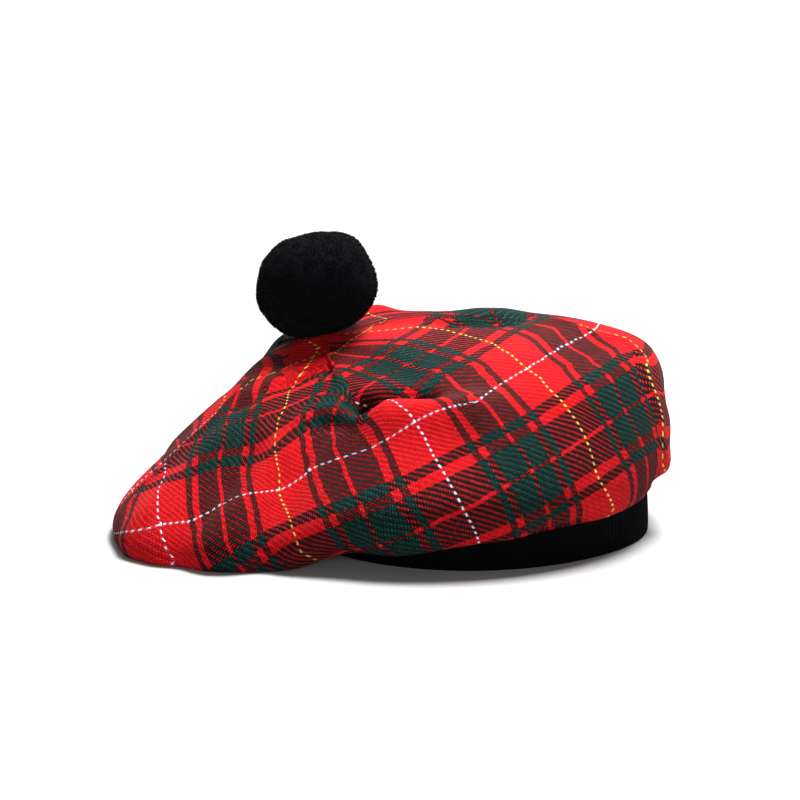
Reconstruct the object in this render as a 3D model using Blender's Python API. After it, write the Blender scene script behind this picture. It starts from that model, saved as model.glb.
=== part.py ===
"""A floppy tam o shanter in three separate pieces: cloth crown, knitted headband and wool pompom.

Metres, +Z up, standing on z = 0. The front faces -Y. Seen from the front, the headband stands at the
right, the crown stands up puffy above it, and its left side has flopped down to the ground.
Sizes below are in millimetres and are turned into metres as each mesh is made.
"""

import math
from collections import namedtuple

import bmesh
import bpy
import numpy as np

MM = 0.001
GAP = 0.3

# Headband: a tube of ribbed knitting, flat underneath.
BAND_CENTRE = np.array((45.0, -17.0))
BAND_RADIUS = 91.0
BAND_PULL = 5.0
BAND_PULL_TURN = -45.0
BAND_WALL = 3.2
BAND_HEIGHT = 24.0
BAND_FLARE = 0.8
BAND_ROUNDING = 0.9
RIB_COUNT = 72
RIB_DEPTH = 0.4

# Crown: a bag of cloth, sewn to the top of the headband all the way round.
CLOTH_WALL = 1.6
APEX = np.array((-34.0, 23.0, 96.0))
SEAT_OVERHANG = 1.8
SEAT_HEIGHT = BAND_HEIGHT + GAP
CROWN_COLUMNS = 80
FRONT_CROWDING = 13.0
SPAN_RINGS = (4, 4, 4, 4, 3, 3)

# Pompom: a ball of cut wool, flattened where it sits on the crown.
POMPOM_CENTRE = np.array((-39.0, 23.0, 122.8))
POMPOM_RADII = np.array((30.2, 28.8, 25.6))
POMPOM_SQUARENESS = 2.45
POMPOM_LEAN = 14.0
TUFT_HEIGHT = 1.4
TUFT_SCATTER = 0.5
TUFT_SEED = 11

# One row for each upright section through the crown, anticlockwise from the right-hand side.
# turn: its direction in degrees. side, rise: how far the cloth halfway out to the crest lies to the
# left of a straight line, and above it. The rest is distance out from the middle, and height, of
# the crest, the shoulder, the rim (furthest out) and the hem (where the cloth turns under).
Section = namedtuple(
    "Section",
    "turn side rise crest_out crest_up shoulder_out shoulder_up rim_out rim_up hem_out hem_up",
)
SECTIONS = (
    Section(-6, 30, 2, 117, 103.5, 137.5, 91.5, 145, 36, 137.5, 24.8),
    Section(12, 22, 4, 114, 101, 137, 89, 145, 39, 136, 24),
    Section(32, 10, 5, 104, 98, 132, 80, 141, 42, 130, 22),
    Section(60, 0, 4, 84, 97, 118, 80, 134, 42, 122, 20),
    Section(90, 0, 3, 78, 96, 110, 76, 132, 38, 118, 15),
    Section(120, 0, 3, 72, 93, 102, 66, 130, 26, 118, 6),
    Section(150, 0, 1, 70, 88, 100, 52, 132, 14, 126, 1),
    Section(178, 0, 1, 71, 84, 103, 51, 139.5, 11, 139.5, 0.6),
    Section(193, 0, 0, 77, 78, 111, 47, 147.5, 9, 146.5, 0.5),
    Section(206, 0, 0, 80, 73, 117, 42.5, 153, 9, 152, 0.5),
    Section(218, 0, 0, 80, 68, 114, 42, 154, 9, 153, 0.5),
    Section(230, 0, 0, 78, 66, 108, 43, 144, 12, 141, 0.5),
    Section(244, 0, 0, 70, 70, 98, 46, 127, 15, 122, 0.6),
    Section(259, -4, 0, 65, 76, 98, 54, 121.5, 28, 111, 8),
    Section(272, 0, 0, 66, 79, 106, 56, 127, 33, 117, 10.5),
    Section(288, 0, 0, 68, 82, 108, 63, 133, 38, 122, 15.5),
    Section(305, 2, 2, 72, 89, 115, 74, 139, 40, 129, 18.5),
    Section(325, 10, 3, 88, 96, 127, 84, 144, 40, 136, 21.5),
    Section(342, 22, 3, 106, 101, 135.5, 90, 145, 36, 138.5, 24),
)

# One row for each fold or dent of the crown. It runs between two places, each given by its turn and
# by its step down the section: 0 apex, 1 halfway, 2 crest, 3 shoulder, 4 rim, 5 hem, 6 headband.
# It lies that far out of the cloth, or into it if below 0, and fades over its width to either side.
Fold = namedtuple("Fold", "from_turn from_step to_turn to_step width height")
FOLDS = (
    Fold(259, 1.95, 264, 2.25, 9, -7),
    Fold(266, 2.15, 296, 2.40, 8, 6),
    Fold(266, 1.75, 292, 1.90, 9, -4),
    Fold(-6, 0.85, -6, 1.15, 16, -5),
    Fold(-6, 1.70, -6, 4.60, 5, 1.5),
    Fold(210, 2.60, 210, 4.00, 12, 3),
    Fold(224, 2.60, 224, 4.00, 10, -4),
    Fold(232, 2.60, 232, 4.00, 11, 3),
    Fold(241, 2.20, 241, 4.00, 9, -4),
)


def remove_everything():
    for thing in list(bpy.data.objects):
        bpy.data.objects.remove(thing, do_unlink=True)


def smooth_cycle(turns, values, at):
    """Values at the angles `at`, on a smooth closed curve through the values of the table."""
    turns = np.asarray(turns, dtype=float)
    values = np.asarray(values, dtype=float)
    turns = np.concatenate((turns[-2:] - 360, turns, turns[:3] + 360))
    values = np.concatenate((values[-2:], values, values[:3]))
    slopes = (values[2:] - values[:-2]) / (turns[2:] - turns[:-2])[:, None]
    knots, levels = turns[1:-1], values[1:-1]
    at = (np.asarray(at, dtype=float) - turns[2]) % 360 + turns[2]
    row = np.clip(np.searchsorted(knots, at, side="right") - 1, 0, len(knots) - 2)
    step = (knots[row + 1] - knots[row])[:, None]
    part = ((at - knots[row]) / step[:, 0])[:, None]
    start, end = levels[row], levels[row + 1]
    leave, arrive = slopes[row] * step, slopes[row + 1] * step
    return (
        start * (2 * part**3 - 3 * part**2 + 1)
        + leave * (part**3 - 2 * part**2 + part)
        + end * (3 * part**2 - 2 * part**3)
        + arrive * (part**3 - part**2)
    )


def band_radius(angles):
    """The headband's outside radius in each direction, in radians: a circle pulled in a little at one side."""
    toward = np.maximum(np.cos(angles - math.radians(BAND_PULL_TURN)), 0)
    return BAND_RADIUS - BAND_PULL * toward**4


def section_stations(turns):
    """The places that each section passes through, from the apex to the headband: station, column, xyz."""
    rows = smooth_cycle([row.turn for row in SECTIONS], [row[1:] for row in SECTIONS], turns)
    side, rise = rows[:, 0], rows[:, 1]
    outward = np.stack((np.cos(np.radians(turns)), np.sin(np.radians(turns))), axis=1)
    rings = [np.column_stack((outward * rows[:, k, None], rows[:, k + 1])) for k in (2, 4, 6, 8)]
    apex = np.repeat(APEX[None], len(turns), axis=0)
    halfway = (apex + rings[0]) / 2
    along = rings[0][:, :2] - apex[:, :2]
    along /= np.linalg.norm(along, axis=1)[:, None]
    halfway[:, 0] -= along[:, 1] * side
    halfway[:, 1] += along[:, 0] * side
    halfway[:, 2] += rise
    toward_band = rings[-1][:, :2] - BAND_CENTRE
    angles = np.arctan2(toward_band[:, 1], toward_band[:, 0])
    ray = np.column_stack((np.cos(angles), np.sin(angles)))
    outer = band_radius(angles)[:, None]
    height = np.full(len(turns), SEAT_HEIGHT)
    seat = np.column_stack((BAND_CENTRE + ray * (outer + SEAT_OVERHANG), height))
    lip = np.column_stack((BAND_CENTRE + ray * (outer - BAND_WALL + GAP), height))
    return np.array([apex, halfway, *rings, seat, lip])


def section_curves(stations, span_rings):
    """Points down every section, on smooth curves through its stations, then straight to the lip."""
    lengths = np.linalg.norm(np.diff(stations, axis=0), axis=2)[:, :, None]
    chords = np.diff(stations, axis=0) / lengths
    tangents = [chords[0], *((chords[:-2] + chords[1:-1]) / 2), chords[-1]]
    points, steps = [stations[0]], [0.0]
    for k, count in enumerate(span_rings):
        for part in np.arange(1, count + 1) / count:
            points.append(
                stations[k] * (2 * part**3 - 3 * part**2 + 1)
                + tangents[k] * lengths[k] * (part**3 - 2 * part**2 + part)
                + stations[k + 1] * (3 * part**2 - 2 * part**3)
                + tangents[k + 1] * lengths[k] * (part**3 - part**2)
            )
            steps.append(k + part)
    points.append(stations[-1])
    steps.append(len(span_rings) + 1.0)
    return np.array(points), np.array(steps)


def grid_normals(points):
    """Outward normals of the crown's rings: ring, column, xyz. The first ring is the apex alone."""
    around = np.roll(points, -1, axis=1) - np.roll(points, 1, axis=1)
    down = np.gradient(points, axis=0)
    around[0] = around[1]
    normals = np.cross(around, -down)
    normals /= np.maximum(np.linalg.norm(normals, axis=2), 1e-9)[:, :, None]
    normals[0] = normals[0].mean(axis=0) / np.linalg.norm(normals[0].mean(axis=0))
    return normals


def place_on(points, turns, steps, turn, step):
    """The point of the crown at a turn and a step."""
    ring = np.interp(step, steps, np.arange(len(steps)))
    gap = (turns - turn + 180) % 360 - 180
    column = int(np.argmin(np.abs(gap)))
    low = int(min(math.floor(ring), len(steps) - 2))
    return points[low, column] * (low + 1 - ring) + points[low + 1, column] * (ring - low)


def folded(points, turns, steps):
    """The crown with its folds and dents: each moves the cloth in or out near the line it runs on."""
    normals = grid_normals(points)
    lift = np.zeros(points.shape[:2])
    for fold in FOLDS:
        start = place_on(points, turns, steps, fold.from_turn, fold.from_step)
        end = place_on(points, turns, steps, fold.to_turn, fold.to_step)
        run = end - start
        along = np.clip((points - start) @ run / (run @ run), 0, 1)
        distance = np.linalg.norm(points - (start + along[:, :, None] * run), axis=2)
        lift += fold.height * np.exp(-((distance / fold.width) ** 2))
    lift[0] = lift[1].mean()
    fade = np.clip((5.0 - steps) / 0.6, 0, 1)
    return points + normals * (lift * fade[:, None])[:, :, None]


def column_turns(count):
    """The columns' directions, closer together at the front, where most of the folds are."""
    share = np.arange(count) / count
    return share * 360 - FRONT_CROWDING * np.sin(2 * math.pi * (share - 0.75))


def crown_grid(columns, span_rings):
    """The crown's outside: ring, column, xyz, with the columns' turns and the rings' steps."""
    turns = column_turns(columns)
    points, steps = section_curves(section_stations(turns), span_rings)
    return folded(points, turns, steps), turns, steps


def skin_faces(rings, columns, first, flipped):
    """Faces of one skin: a fan at the apex, vertex number `first`, and quads from ring to ring."""
    def corner(ring, column):
        return first + 1 + (ring - 1) * columns + column % columns

    faces = [(first, corner(1, j), corner(1, j + 1)) for j in range(columns)]
    for i in range(1, rings - 1):
        for j in range(columns):
            faces.append((corner(i, j), corner(i + 1, j), corner(i + 1, j + 1), corner(i, j + 1)))
    return [face[::-1] for face in faces] if flipped else faces


def crown_mesh():
    """The crown as one closed wall of cloth, open below for the head."""
    outside, _, _ = crown_grid(CROWN_COLUMNS, SPAN_RINGS)
    inside = outside - grid_normals(outside) * CLOTH_WALL
    inside[-1, :, :2] = outside[-1, :, :2]
    inside[-2:, :, 2] = SEAT_HEIGHT + CLOTH_WALL
    rings, columns = outside.shape[:2]
    skins = [np.vstack((skin[0, :1], skin[1:].reshape(-1, 3))) for skin in (outside, inside)]
    first_inside = len(skins[0])
    faces = skin_faces(rings, columns, 0, False) + skin_faces(rings, columns, first_inside, True)
    last = 1 + (rings - 2) * columns
    for j in range(columns):
        here, after = last + j, last + (j + 1) % columns
        faces.append((here, first_inside + here, first_inside + after, after))
    return np.vstack(skins), faces


def headband_mesh():
    """The headband: a tube with shallow upright ribs outside, its lower edge flat and its corners rounded."""
    top, low, wall = BAND_HEIGHT, BAND_ROUNDING, BAND_WALL
    # Each row of the wall's outline: how far inside the outer radius, height, share of the rib depth.
    profile = (
        (wall - low, 0.0, 0),
        (low, 0.0, 0),
        (0.0, low, 0.3),
        (BAND_FLARE / 2, top / 2, 1),
        (BAND_FLARE, top - low, 0.3),
        (BAND_FLARE + low, top, 0),
        (wall - low, top, 0),
        (wall, top - low, 0),
        (wall, low, 0),
    )
    columns = RIB_COUNT * 2
    angles = np.arange(columns) * 2 * math.pi / columns
    ray = np.column_stack((np.cos(angles), np.sin(angles)))
    points = []
    for inset, height, ribbed in profile:
        out = band_radius(angles) - inset - ribbed * RIB_DEPTH * (np.arange(columns) % 2)
        points += [(x, y, height) for x, y in BAND_CENTRE + ray * out[:, None]]
    faces = []
    for i in range(len(profile)):
        below, above = i * columns, (i + 1) % len(profile) * columns
        for j in range(columns):
            k = (j + 1) % columns
            faces.append((below + j, below + k, above + k, above + j))
    return np.array(points), faces


def ball(subdivisions):
    """Vertices and faces of a round ball of radius 1 made of triangles."""
    shape = bmesh.new()
    bmesh.ops.create_icosphere(shape, subdivisions=subdivisions, radius=1.0)
    shape.verts.ensure_lookup_table()
    points = np.array([vertex.co for vertex in shape.verts])
    faces = [tuple(vertex.index for vertex in face.verts) for face in shape.faces]
    shape.free()
    return points, faces


def pompom_mesh():
    """The pompom: a flattened ball with its locks of wool fused to it, each a low point on its surface."""
    points, faces = ball(4)
    tips, _ = ball(3)
    scatter = np.random.default_rng(TUFT_SEED).uniform(-TUFT_SCATTER, TUFT_SCATTER, len(points))
    is_tip = (points @ tips.T).max(axis=1) > 0.9999
    out = np.where(is_tip, TUFT_HEIGHT, 0.0) + scatter
    lean = math.radians(POMPOM_LEAN)
    across = points[:, 0] * math.cos(lean) + points[:, 2] * math.sin(lean)
    upright = points[:, 2] * math.cos(lean) - points[:, 0] * math.sin(lean)
    axes = np.abs(np.column_stack((across, points[:, 1], upright)))
    fullness = (axes**POMPOM_SQUARENESS).sum(axis=1) ** (-1 / POMPOM_SQUARENESS)
    return POMPOM_CENTRE + points * (POMPOM_RADII * fullness[:, None] + out[:, None]), faces


def lifted_clear(points, crown, gap):
    """The pompom's points, with any that would touch the crown lifted to the gap above it."""
    clear = points.copy()
    for k, point in enumerate(points):
        near = np.linalg.norm(crown[:, :2] - point[:2], axis=1)
        weights = 1 / (near[near < 30] + 0.5) ** 4
        below = (crown[near < 30, 2] * weights).sum() / weights.sum()
        clear[k, 2] = max(point[2], below + gap)
    return clear


def material(name, colour, roughness):
    made = bpy.data.materials.new(name)
    made.use_nodes = True
    shader = made.node_tree.nodes["Principled BSDF"]
    shader.inputs["Base Color"].default_value = (*colour, 1.0)
    shader.inputs["Roughness"].default_value = roughness
    return made


def make_object(name, points, faces, finish):
    """A mesh object from points in millimetres, its faces turned outward and shaded smooth."""
    mesh = bpy.data.meshes.new(name)
    mesh.from_pydata((points * MM).tolist(), [], faces)
    shape = bmesh.new()
    shape.from_mesh(mesh)
    bmesh.ops.recalc_face_normals(shape, faces=shape.faces)
    shape.to_mesh(mesh)
    shape.free()
    mesh.polygons.foreach_set("use_smooth", [True] * len(mesh.polygons))
    mesh.materials.append(finish)
    made = bpy.data.objects.new(name, mesh)
    bpy.context.scene.collection.objects.link(made)
    return made


def centred(meshes):
    """The meshes moved together so that the middle of their box is over the origin, and it stands on z = 0."""
    every = np.vstack([points for points, _ in meshes.values()])
    low, high = every.min(axis=0), every.max(axis=0)
    shift = np.array(((low[0] + high[0]) / 2, (low[1] + high[1]) / 2, low[2]))
    return {name: (points - shift, faces) for name, (points, faces) in meshes.items()}


def main():
    remove_everything()
    finishes = {
        "crown": material("tartan_cloth", (0.42, 0.03, 0.03), 0.85),
        "headband": material("black_knit", (0.012, 0.012, 0.015), 0.9),
        "pompom": material("black_wool", (0.008, 0.008, 0.010), 0.95),
    }
    crown_points, crown_faces = crown_mesh()
    pompom_points, pompom_faces = pompom_mesh()
    outer = crown_points[: len(crown_points) // 2]
    top = outer[outer[:, 2] > APEX[2] - 30]
    pompom_points = lifted_clear(pompom_points, top, GAP + 0.4)
    meshes = {
        "crown": (crown_points, crown_faces),
        "headband": headband_mesh(),
        "pompom": (pompom_points, pompom_faces),
    }
    for name, (points, faces) in centred(meshes).items():
        make_object(name, points, faces, finishes[name])


main()
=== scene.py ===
"""Looks for a floppy tartan tam o shanter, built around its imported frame.

Lengths are in millimetres until a mesh is made, and then in metres. They are measured in the hat's own
layout, whose zero lies under the middle of the crown; the frame's zero lies a little to its right.
"""

from __future__ import annotations

import logging
import math
from collections.abc import Callable, Iterable, Sequence
from dataclasses import astuple, dataclass, field
from enum import Enum

import bmesh
import bpy
import numpy as np
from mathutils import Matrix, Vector
from mathutils.bvhtree import BVHTree

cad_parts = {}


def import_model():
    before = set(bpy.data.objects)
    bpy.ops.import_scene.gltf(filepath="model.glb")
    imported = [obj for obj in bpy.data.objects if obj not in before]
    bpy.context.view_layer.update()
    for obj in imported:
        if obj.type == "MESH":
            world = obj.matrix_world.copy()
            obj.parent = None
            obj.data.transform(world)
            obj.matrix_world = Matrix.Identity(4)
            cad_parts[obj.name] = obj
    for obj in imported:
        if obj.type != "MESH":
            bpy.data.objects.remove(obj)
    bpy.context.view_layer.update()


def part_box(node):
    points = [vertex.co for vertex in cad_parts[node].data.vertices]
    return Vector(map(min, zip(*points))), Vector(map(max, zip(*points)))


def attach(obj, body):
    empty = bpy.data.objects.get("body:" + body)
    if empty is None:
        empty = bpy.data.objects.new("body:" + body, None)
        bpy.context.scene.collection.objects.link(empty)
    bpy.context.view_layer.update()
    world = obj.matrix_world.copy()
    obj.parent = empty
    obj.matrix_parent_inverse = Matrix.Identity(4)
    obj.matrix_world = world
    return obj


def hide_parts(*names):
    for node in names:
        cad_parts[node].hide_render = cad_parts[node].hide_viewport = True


LOG = logging.getLogger("tam")
MM = 0.001
ROOT = "root"
THREAD_MM = (0.93, 1.02)
NOISE_RANGE = (0.3, 0.7)
Colour = tuple[float, float, float]
Socket = bpy.types.NodeSocket


# ---------------------------------------------------------------- small helpers


def eased(
    near: np.ndarray, far: np.ndarray, leaving: np.ndarray, arriving: np.ndarray, part: np.ndarray
) -> np.ndarray:
    """Run smoothly from one value to another.

    Args:
        near: The first value.
        far: The second value.
        leaving: How fast the value changes at the first one, over the whole run.
        arriving: How fast it changes at the second one.
        part: How far along the run to read, from 0 to 1.

    Returns:
        The value there.
    """
    return (
        near * (2 * part**3 - 3 * part**2 + 1)
        + leaving * (part**3 - 2 * part**2 + part)
        + far * (3 * part**2 - 2 * part**3)
        + arriving * (part**3 - part**2)
    )


def smooth_cycle(turns: Sequence[float], values: Sequence[Sequence[float]], at: np.ndarray) -> np.ndarray:
    """Read a smooth closed curve through the rows of a table.

    Args:
        turns: The rows' angles in degrees, ascending.
        values: One row of numbers for each angle.
        at: The angles to read.

    Returns:
        One row of numbers for each angle read.
    """
    knots = np.asarray(turns, dtype=float)
    levels = np.asarray(values, dtype=float)
    knots = np.concatenate((knots[-2:] - 360, knots, knots[:3] + 360))
    levels = np.concatenate((levels[-2:], levels, levels[:3]))
    slopes = (levels[2:] - levels[:-2]) / (knots[2:] - knots[:-2])[:, None]
    first = knots[2]
    knots, levels = knots[1:-1], levels[1:-1]
    at = (np.asarray(at, dtype=float) - first) % 360 + first
    row = np.clip(np.searchsorted(knots, at, side="right") - 1, 0, len(knots) - 2)
    step = (knots[row + 1] - knots[row])[:, None]
    part = ((at - knots[row]) / step[:, 0])[:, None]
    return eased(levels[row], levels[row + 1], slopes[row] * step, slopes[row + 1] * step, part)


def linked(name: str, data: bpy.types.ID) -> bpy.types.Object:
    """Make an object and put it in the scene.

    Args:
        name: The object's name.
        data: Its mesh, lamp or camera.

    Returns:
        The object.
    """
    made = bpy.data.objects.new(name, data)
    bpy.context.scene.collection.objects.link(made)
    return made


def mesh_object(
    name: str, points_mm: np.ndarray, faces: Sequence[Sequence[int]], origin_mm: np.ndarray
) -> bpy.types.Object:
    """Make a smooth-shaded object.

    Args:
        name: The piece's name.
        points_mm: Its points in the hat's layout.
        faces: Point numbers of each face.
        origin_mm: The frame's zero in the hat's layout.

    Returns:
        The object, linked to the scene.
    """
    mesh = bpy.data.meshes.new(name)
    mesh.from_pydata(((points_mm - origin_mm) * MM).tolist(), [], [tuple(face) for face in faces])
    mesh.polygons.foreach_set("use_smooth", [True] * len(mesh.polygons))
    mesh.update()
    return linked(name, mesh)


def unit(rows: np.ndarray) -> np.ndarray:
    """Scale vectors to length one."""
    return rows / np.maximum(np.linalg.norm(rows, axis=-1, keepdims=True), 1e-9)


def degrees_between(first: np.ndarray, second: float) -> np.ndarray:
    """Give how far angles lie from another one, between -180 and 180 degrees."""
    return (first - second + 180) % 360 - 180


# ---------------------------------------------------------------- camera, light and floor


@dataclass(frozen=True)
class Viewpoint:
    """The camera's place, and how a pixel of its picture reads in the hat's layout.

    The target is the point that lands on the picture's middle.
    """

    distance_mm: float = 3000.0
    elevation_deg: float = 12.5
    mm_per_pixel: float = 0.52
    picture_px: float = 800.0
    sensor_mm: float = 36.0
    target_mm: tuple[float, float, float] = (5.2, -17.0, 69.2)
    sight_m: float = 30.0

    def backward(self) -> np.ndarray:
        """Point from the target to the camera."""
        tilt = math.radians(self.elevation_deg)
        return np.array((0.0, -math.cos(tilt), math.sin(tilt)))

    def upward(self) -> np.ndarray:
        """Point up in the picture."""
        tilt = math.radians(self.elevation_deg)
        return np.array((0.0, math.sin(tilt), math.cos(tilt)))

    def eye(self) -> np.ndarray:
        """Give the camera's place in millimetres."""
        return np.array(self.target_mm) + self.backward() * self.distance_mm

    def ray(self, pixel_x: float, pixel_y: float) -> np.ndarray:
        """Look through a pixel.

        Args:
            pixel_x: The pixel's distance from the picture's left edge.
            pixel_y: Its distance from the top edge.

        Returns:
            The direction from the camera through it.
        """
        half = self.picture_px / 2
        across = (pixel_x - half) * self.mm_per_pixel
        up = (half - pixel_y) * self.mm_per_pixel
        seen = np.array(self.target_mm) + np.array((across, 0.0, 0.0)) + self.upward() * up
        return unit(seen - self.eye())

    def place_camera(self, origin_mm: np.ndarray) -> None:
        """Make the scene's camera.

        Args:
            origin_mm: The frame's zero in the hat's layout.
        """
        data = bpy.data.cameras.new("camera")
        data.sensor_width = self.sensor_mm
        data.lens = self.distance_mm / self.mm_per_pixel / self.picture_px * self.sensor_mm
        data.clip_end = self.sight_m
        camera = linked("camera", data)
        camera.location = Vector((self.eye() - origin_mm) * MM)
        camera.rotation_euler = (math.radians(90 - self.elevation_deg), 0, 0)
        bpy.context.scene.camera = camera


@dataclass(frozen=True)
class Softbox:
    """One large soft lamp, aimed at a point above the floor."""

    name: str
    place_m: tuple[float, float, float]
    size_m: tuple[float, float]
    watts: float
    aim_m: tuple[float, float, float] = (0.0, 0.0, 0.06)

    def build(self) -> None:
        """Hang the lamp."""
        data = bpy.data.lights.new(self.name, "AREA")
        data.shape = "RECTANGLE"
        data.size, data.size_y = self.size_m
        data.energy = self.watts
        lamp = linked(self.name, data)
        lamp.location = self.place_m
        aim = Vector(self.aim_m) - Vector(self.place_m)
        lamp.rotation_euler = aim.to_track_quat("-Z", "Y").to_euler()


@dataclass(frozen=True)
class Studio:
    """A pale floor under soft white light."""

    floor_m: float = 12.0
    floor_colour: Colour = (0.40, 0.40, 0.40)
    floor_roughness: float = 0.9
    floor_specular: float = 0.1
    sky: float = 0.12
    lamps: tuple[Softbox, ...] = (
        Softbox("lamp_above", (0.55, 0.35, 2.2), (1.0, 0.8), 150.0),
        Softbox("lamp_front", (0.4, -2.1, 0.6), (1.2, 0.5), 18.0),
        Softbox("lamp_back", (0.0, 2.6, 1.5), (2.6, 0.9), 84.0, aim_m=(0.0, 2.1, 0.0)),
    )

    def lay_floor(self) -> None:
        """Lay the floor and finish it."""
        half = self.floor_m / 2
        corners = ((-half, -half, 0), (half, -half, 0), (half, half, 0), (-half, half, 0))
        mesh = bpy.data.meshes.new("floor")
        mesh.from_pydata(corners, [], [(0, 1, 2, 3)])
        floor = linked("floor", mesh)
        graph = Graph.for_material("studio_floor")
        graph.shader(base=self.floor_colour, roughness=self.floor_roughness, specular=self.floor_specular)
        mesh.materials.append(graph.material)

    def build(self) -> None:
        """Lay the floor, hang the lamps and light the air."""
        self.lay_floor()
        for lamp in self.lamps:
            lamp.build()
        world = bpy.data.worlds.new("studio_air")
        bpy.context.scene.world = world
        world.use_nodes = True
        background = world.node_tree.nodes["Background"]
        background.inputs["Color"].default_value = (1.0, 1.0, 1.0, 1.0)
        background.inputs["Strength"].default_value = self.sky
        bpy.context.scene.view_settings.view_transform = "Standard"


# ---------------------------------------------------------------- shader graphs


@dataclass
class Graph:
    """A node tree under construction. Its methods take sockets and plain values alike."""

    tree: bpy.types.NodeTree
    material: bpy.types.Material | None = None

    @classmethod
    def for_material(cls, name: str) -> Graph:
        """Start a material with an empty tree.

        Args:
            name: The material's name.

        Returns:
            The graph of the material.
        """
        material = bpy.data.materials.new(name)
        material.use_nodes = True
        material.node_tree.nodes.clear()
        return cls(material.node_tree, material)

    @classmethod
    def for_group(cls, name: str, inputs: dict[str, float], outputs: dict[str, str]) -> Graph:
        """Start a shader node group.

        Args:
            name: The group's name.
            inputs: Its float inputs and their defaults.
            outputs: Its outputs and their socket types.

        Returns:
            The graph of the group.
        """
        tree = bpy.data.node_groups.new(name, "ShaderNodeTree")
        for label, default in inputs.items():
            made = tree.interface.new_socket(name=label, in_out="INPUT", socket_type="NodeSocketFloat")
            made.default_value = default
        for label, kind in outputs.items():
            tree.interface.new_socket(name=label, in_out="OUTPUT", socket_type=kind)
        return cls(tree)

    def put(self, kind: str, **settings: object) -> bpy.types.Node:
        """Add a node.

        Args:
            kind: The node's type.
            **settings: Its properties.

        Returns:
            The node.
        """
        node = self.tree.nodes.new(kind)
        for key, value in settings.items():
            setattr(node, key, value)
        return node

    def feed(self, socket: Socket, value: object) -> None:
        """Link a socket, or set its value.

        Args:
            socket: The input to feed.
            value: A socket, a plain value, or None to leave the input as it is.
        """
        if isinstance(value, bpy.types.NodeSocket):
            self.tree.links.new(value, socket)
        elif value is not None:
            socket.default_value = value

    def place(self, kind: str, *values: object, **settings: object) -> bpy.types.Node:
        """Add a node and feed its first inputs.

        Args:
            kind: The node's type.
            *values: What its inputs get, in order.
            **settings: Its properties.

        Returns:
            The node.
        """
        node = self.put(kind, **settings)
        for socket, value in zip(node.inputs, values):
            self.feed(socket, value)
        return node

    def math(self, operation: str, *values: object, clamp: bool = False) -> Socket:
        """Add a Math node and give its value."""
        return self.place("ShaderNodeMath", *values, operation=operation, use_clamp=clamp).outputs[0]

    def times(self, *values: object) -> Socket:
        """Multiply numbers.

        Args:
            *values: Two or more of them.

        Returns:
            Their product.
        """
        product = values[0]
        for value in values[1:]:
            product = self.math("MULTIPLY", product, value)
        return product

    def choose(self, share: Socket, first: Socket, second: Socket) -> Socket:
        """Give the first number where the share is 0, the second where it is 1."""
        step = self.times(share, self.math("SUBTRACT", second, first))
        return self.math("ADD", step, first)

    def remap(
        self, value: object, low: float, high: float, new_low: float, new_high: float, kind: str = "LINEAR"
    ) -> Socket:
        """Add a clamped Map Range node and give its value."""
        values = (value, low, high, new_low, new_high)
        return self.place("ShaderNodeMapRange", *values, interpolation_type=kind).outputs[0]

    def mix(self, share: object, first: object, second: object, blend: str = "MIX") -> Socket:
        """Mix two colours.

        Args:
            share: The second one's share.
            first: The first colour.
            second: The second colour.
            blend: How they mix.

        Returns:
            The mixed colour.
        """
        node = self.put("ShaderNodeMix", data_type="RGBA", blend_type=blend)
        self.feed(node.inputs["Factor"], share)
        for label, value in (("A", first), ("B", second)):
            self.feed(next(s for s in node.inputs if s.name == label and s.type == "RGBA"), value)
        return next(s for s in node.outputs if s.type == "RGBA")

    def scaled(self, colour: object, by: object) -> Socket:
        """Make a colour lighter or darker.

        Args:
            colour: The colour.
            by: What to multiply it by.

        Returns:
            The scaled colour.
        """
        node = self.put("ShaderNodeVectorMath", operation="SCALE")
        self.feed(node.inputs[0], colour)
        self.feed(node.inputs["Scale"], by)
        return node.outputs[0]

    def channel(self, colour: Socket, number: int) -> Socket:
        """Give one part of a colour: 0 is red, 1 green, 2 blue."""
        return self.place("ShaderNodeSeparateColor", colour).outputs[number]

    def noise(self, spot: object, scale: float, detail: float = 2.0) -> Socket:
        """Add a Noise Texture node.

        Args:
            spot: The coordinates.
            scale: How many blotches there are to one unit.
            detail: How many finer layers they have.

        Returns:
            The noise, mostly within NOISE_RANGE.
        """
        node = self.put("ShaderNodeTexNoise", noise_dimensions="3D")
        for label, value in (("Vector", spot), ("Scale", scale), ("Detail", detail)):
            self.feed(node.inputs[label], value)
        return node.outputs[0]

    def speckle(self, *place: object) -> Socket:
        """Give a random value between 0 and 1 for each place."""
        joined = self.place("ShaderNodeCombineXYZ", *place).outputs[0]
        return self.place("ShaderNodeTexWhiteNoise", joined, noise_dimensions="3D").outputs["Value"]

    def use(self, group: Graph, **inputs: object) -> dict[str, Socket]:
        """Place a node group.

        Args:
            group: The group to place.
            **inputs: Its inputs, by name.

        Returns:
            Its outputs, by name.
        """
        node = self.put("ShaderNodeGroup")
        node.node_tree = group.tree
        for label, value in inputs.items():
            self.feed(node.inputs[label], value)
        return {socket.name: socket for socket in node.outputs}

    def bump(self, height: Socket, distance: float, strength: float = 1.0) -> Socket:
        """Add a Bump node.

        Args:
            height: The surface's height from 0 to 1.
            distance: How high 1 stands, in metres.
            strength: How strongly the bump shows.

        Returns:
            The bumped normal.
        """
        node = self.put("ShaderNodeBump")
        for label, value in (("Strength", strength), ("Distance", distance), ("Height", height)):
            self.feed(node.inputs[label], value)
        return node.outputs["Normal"]

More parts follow.
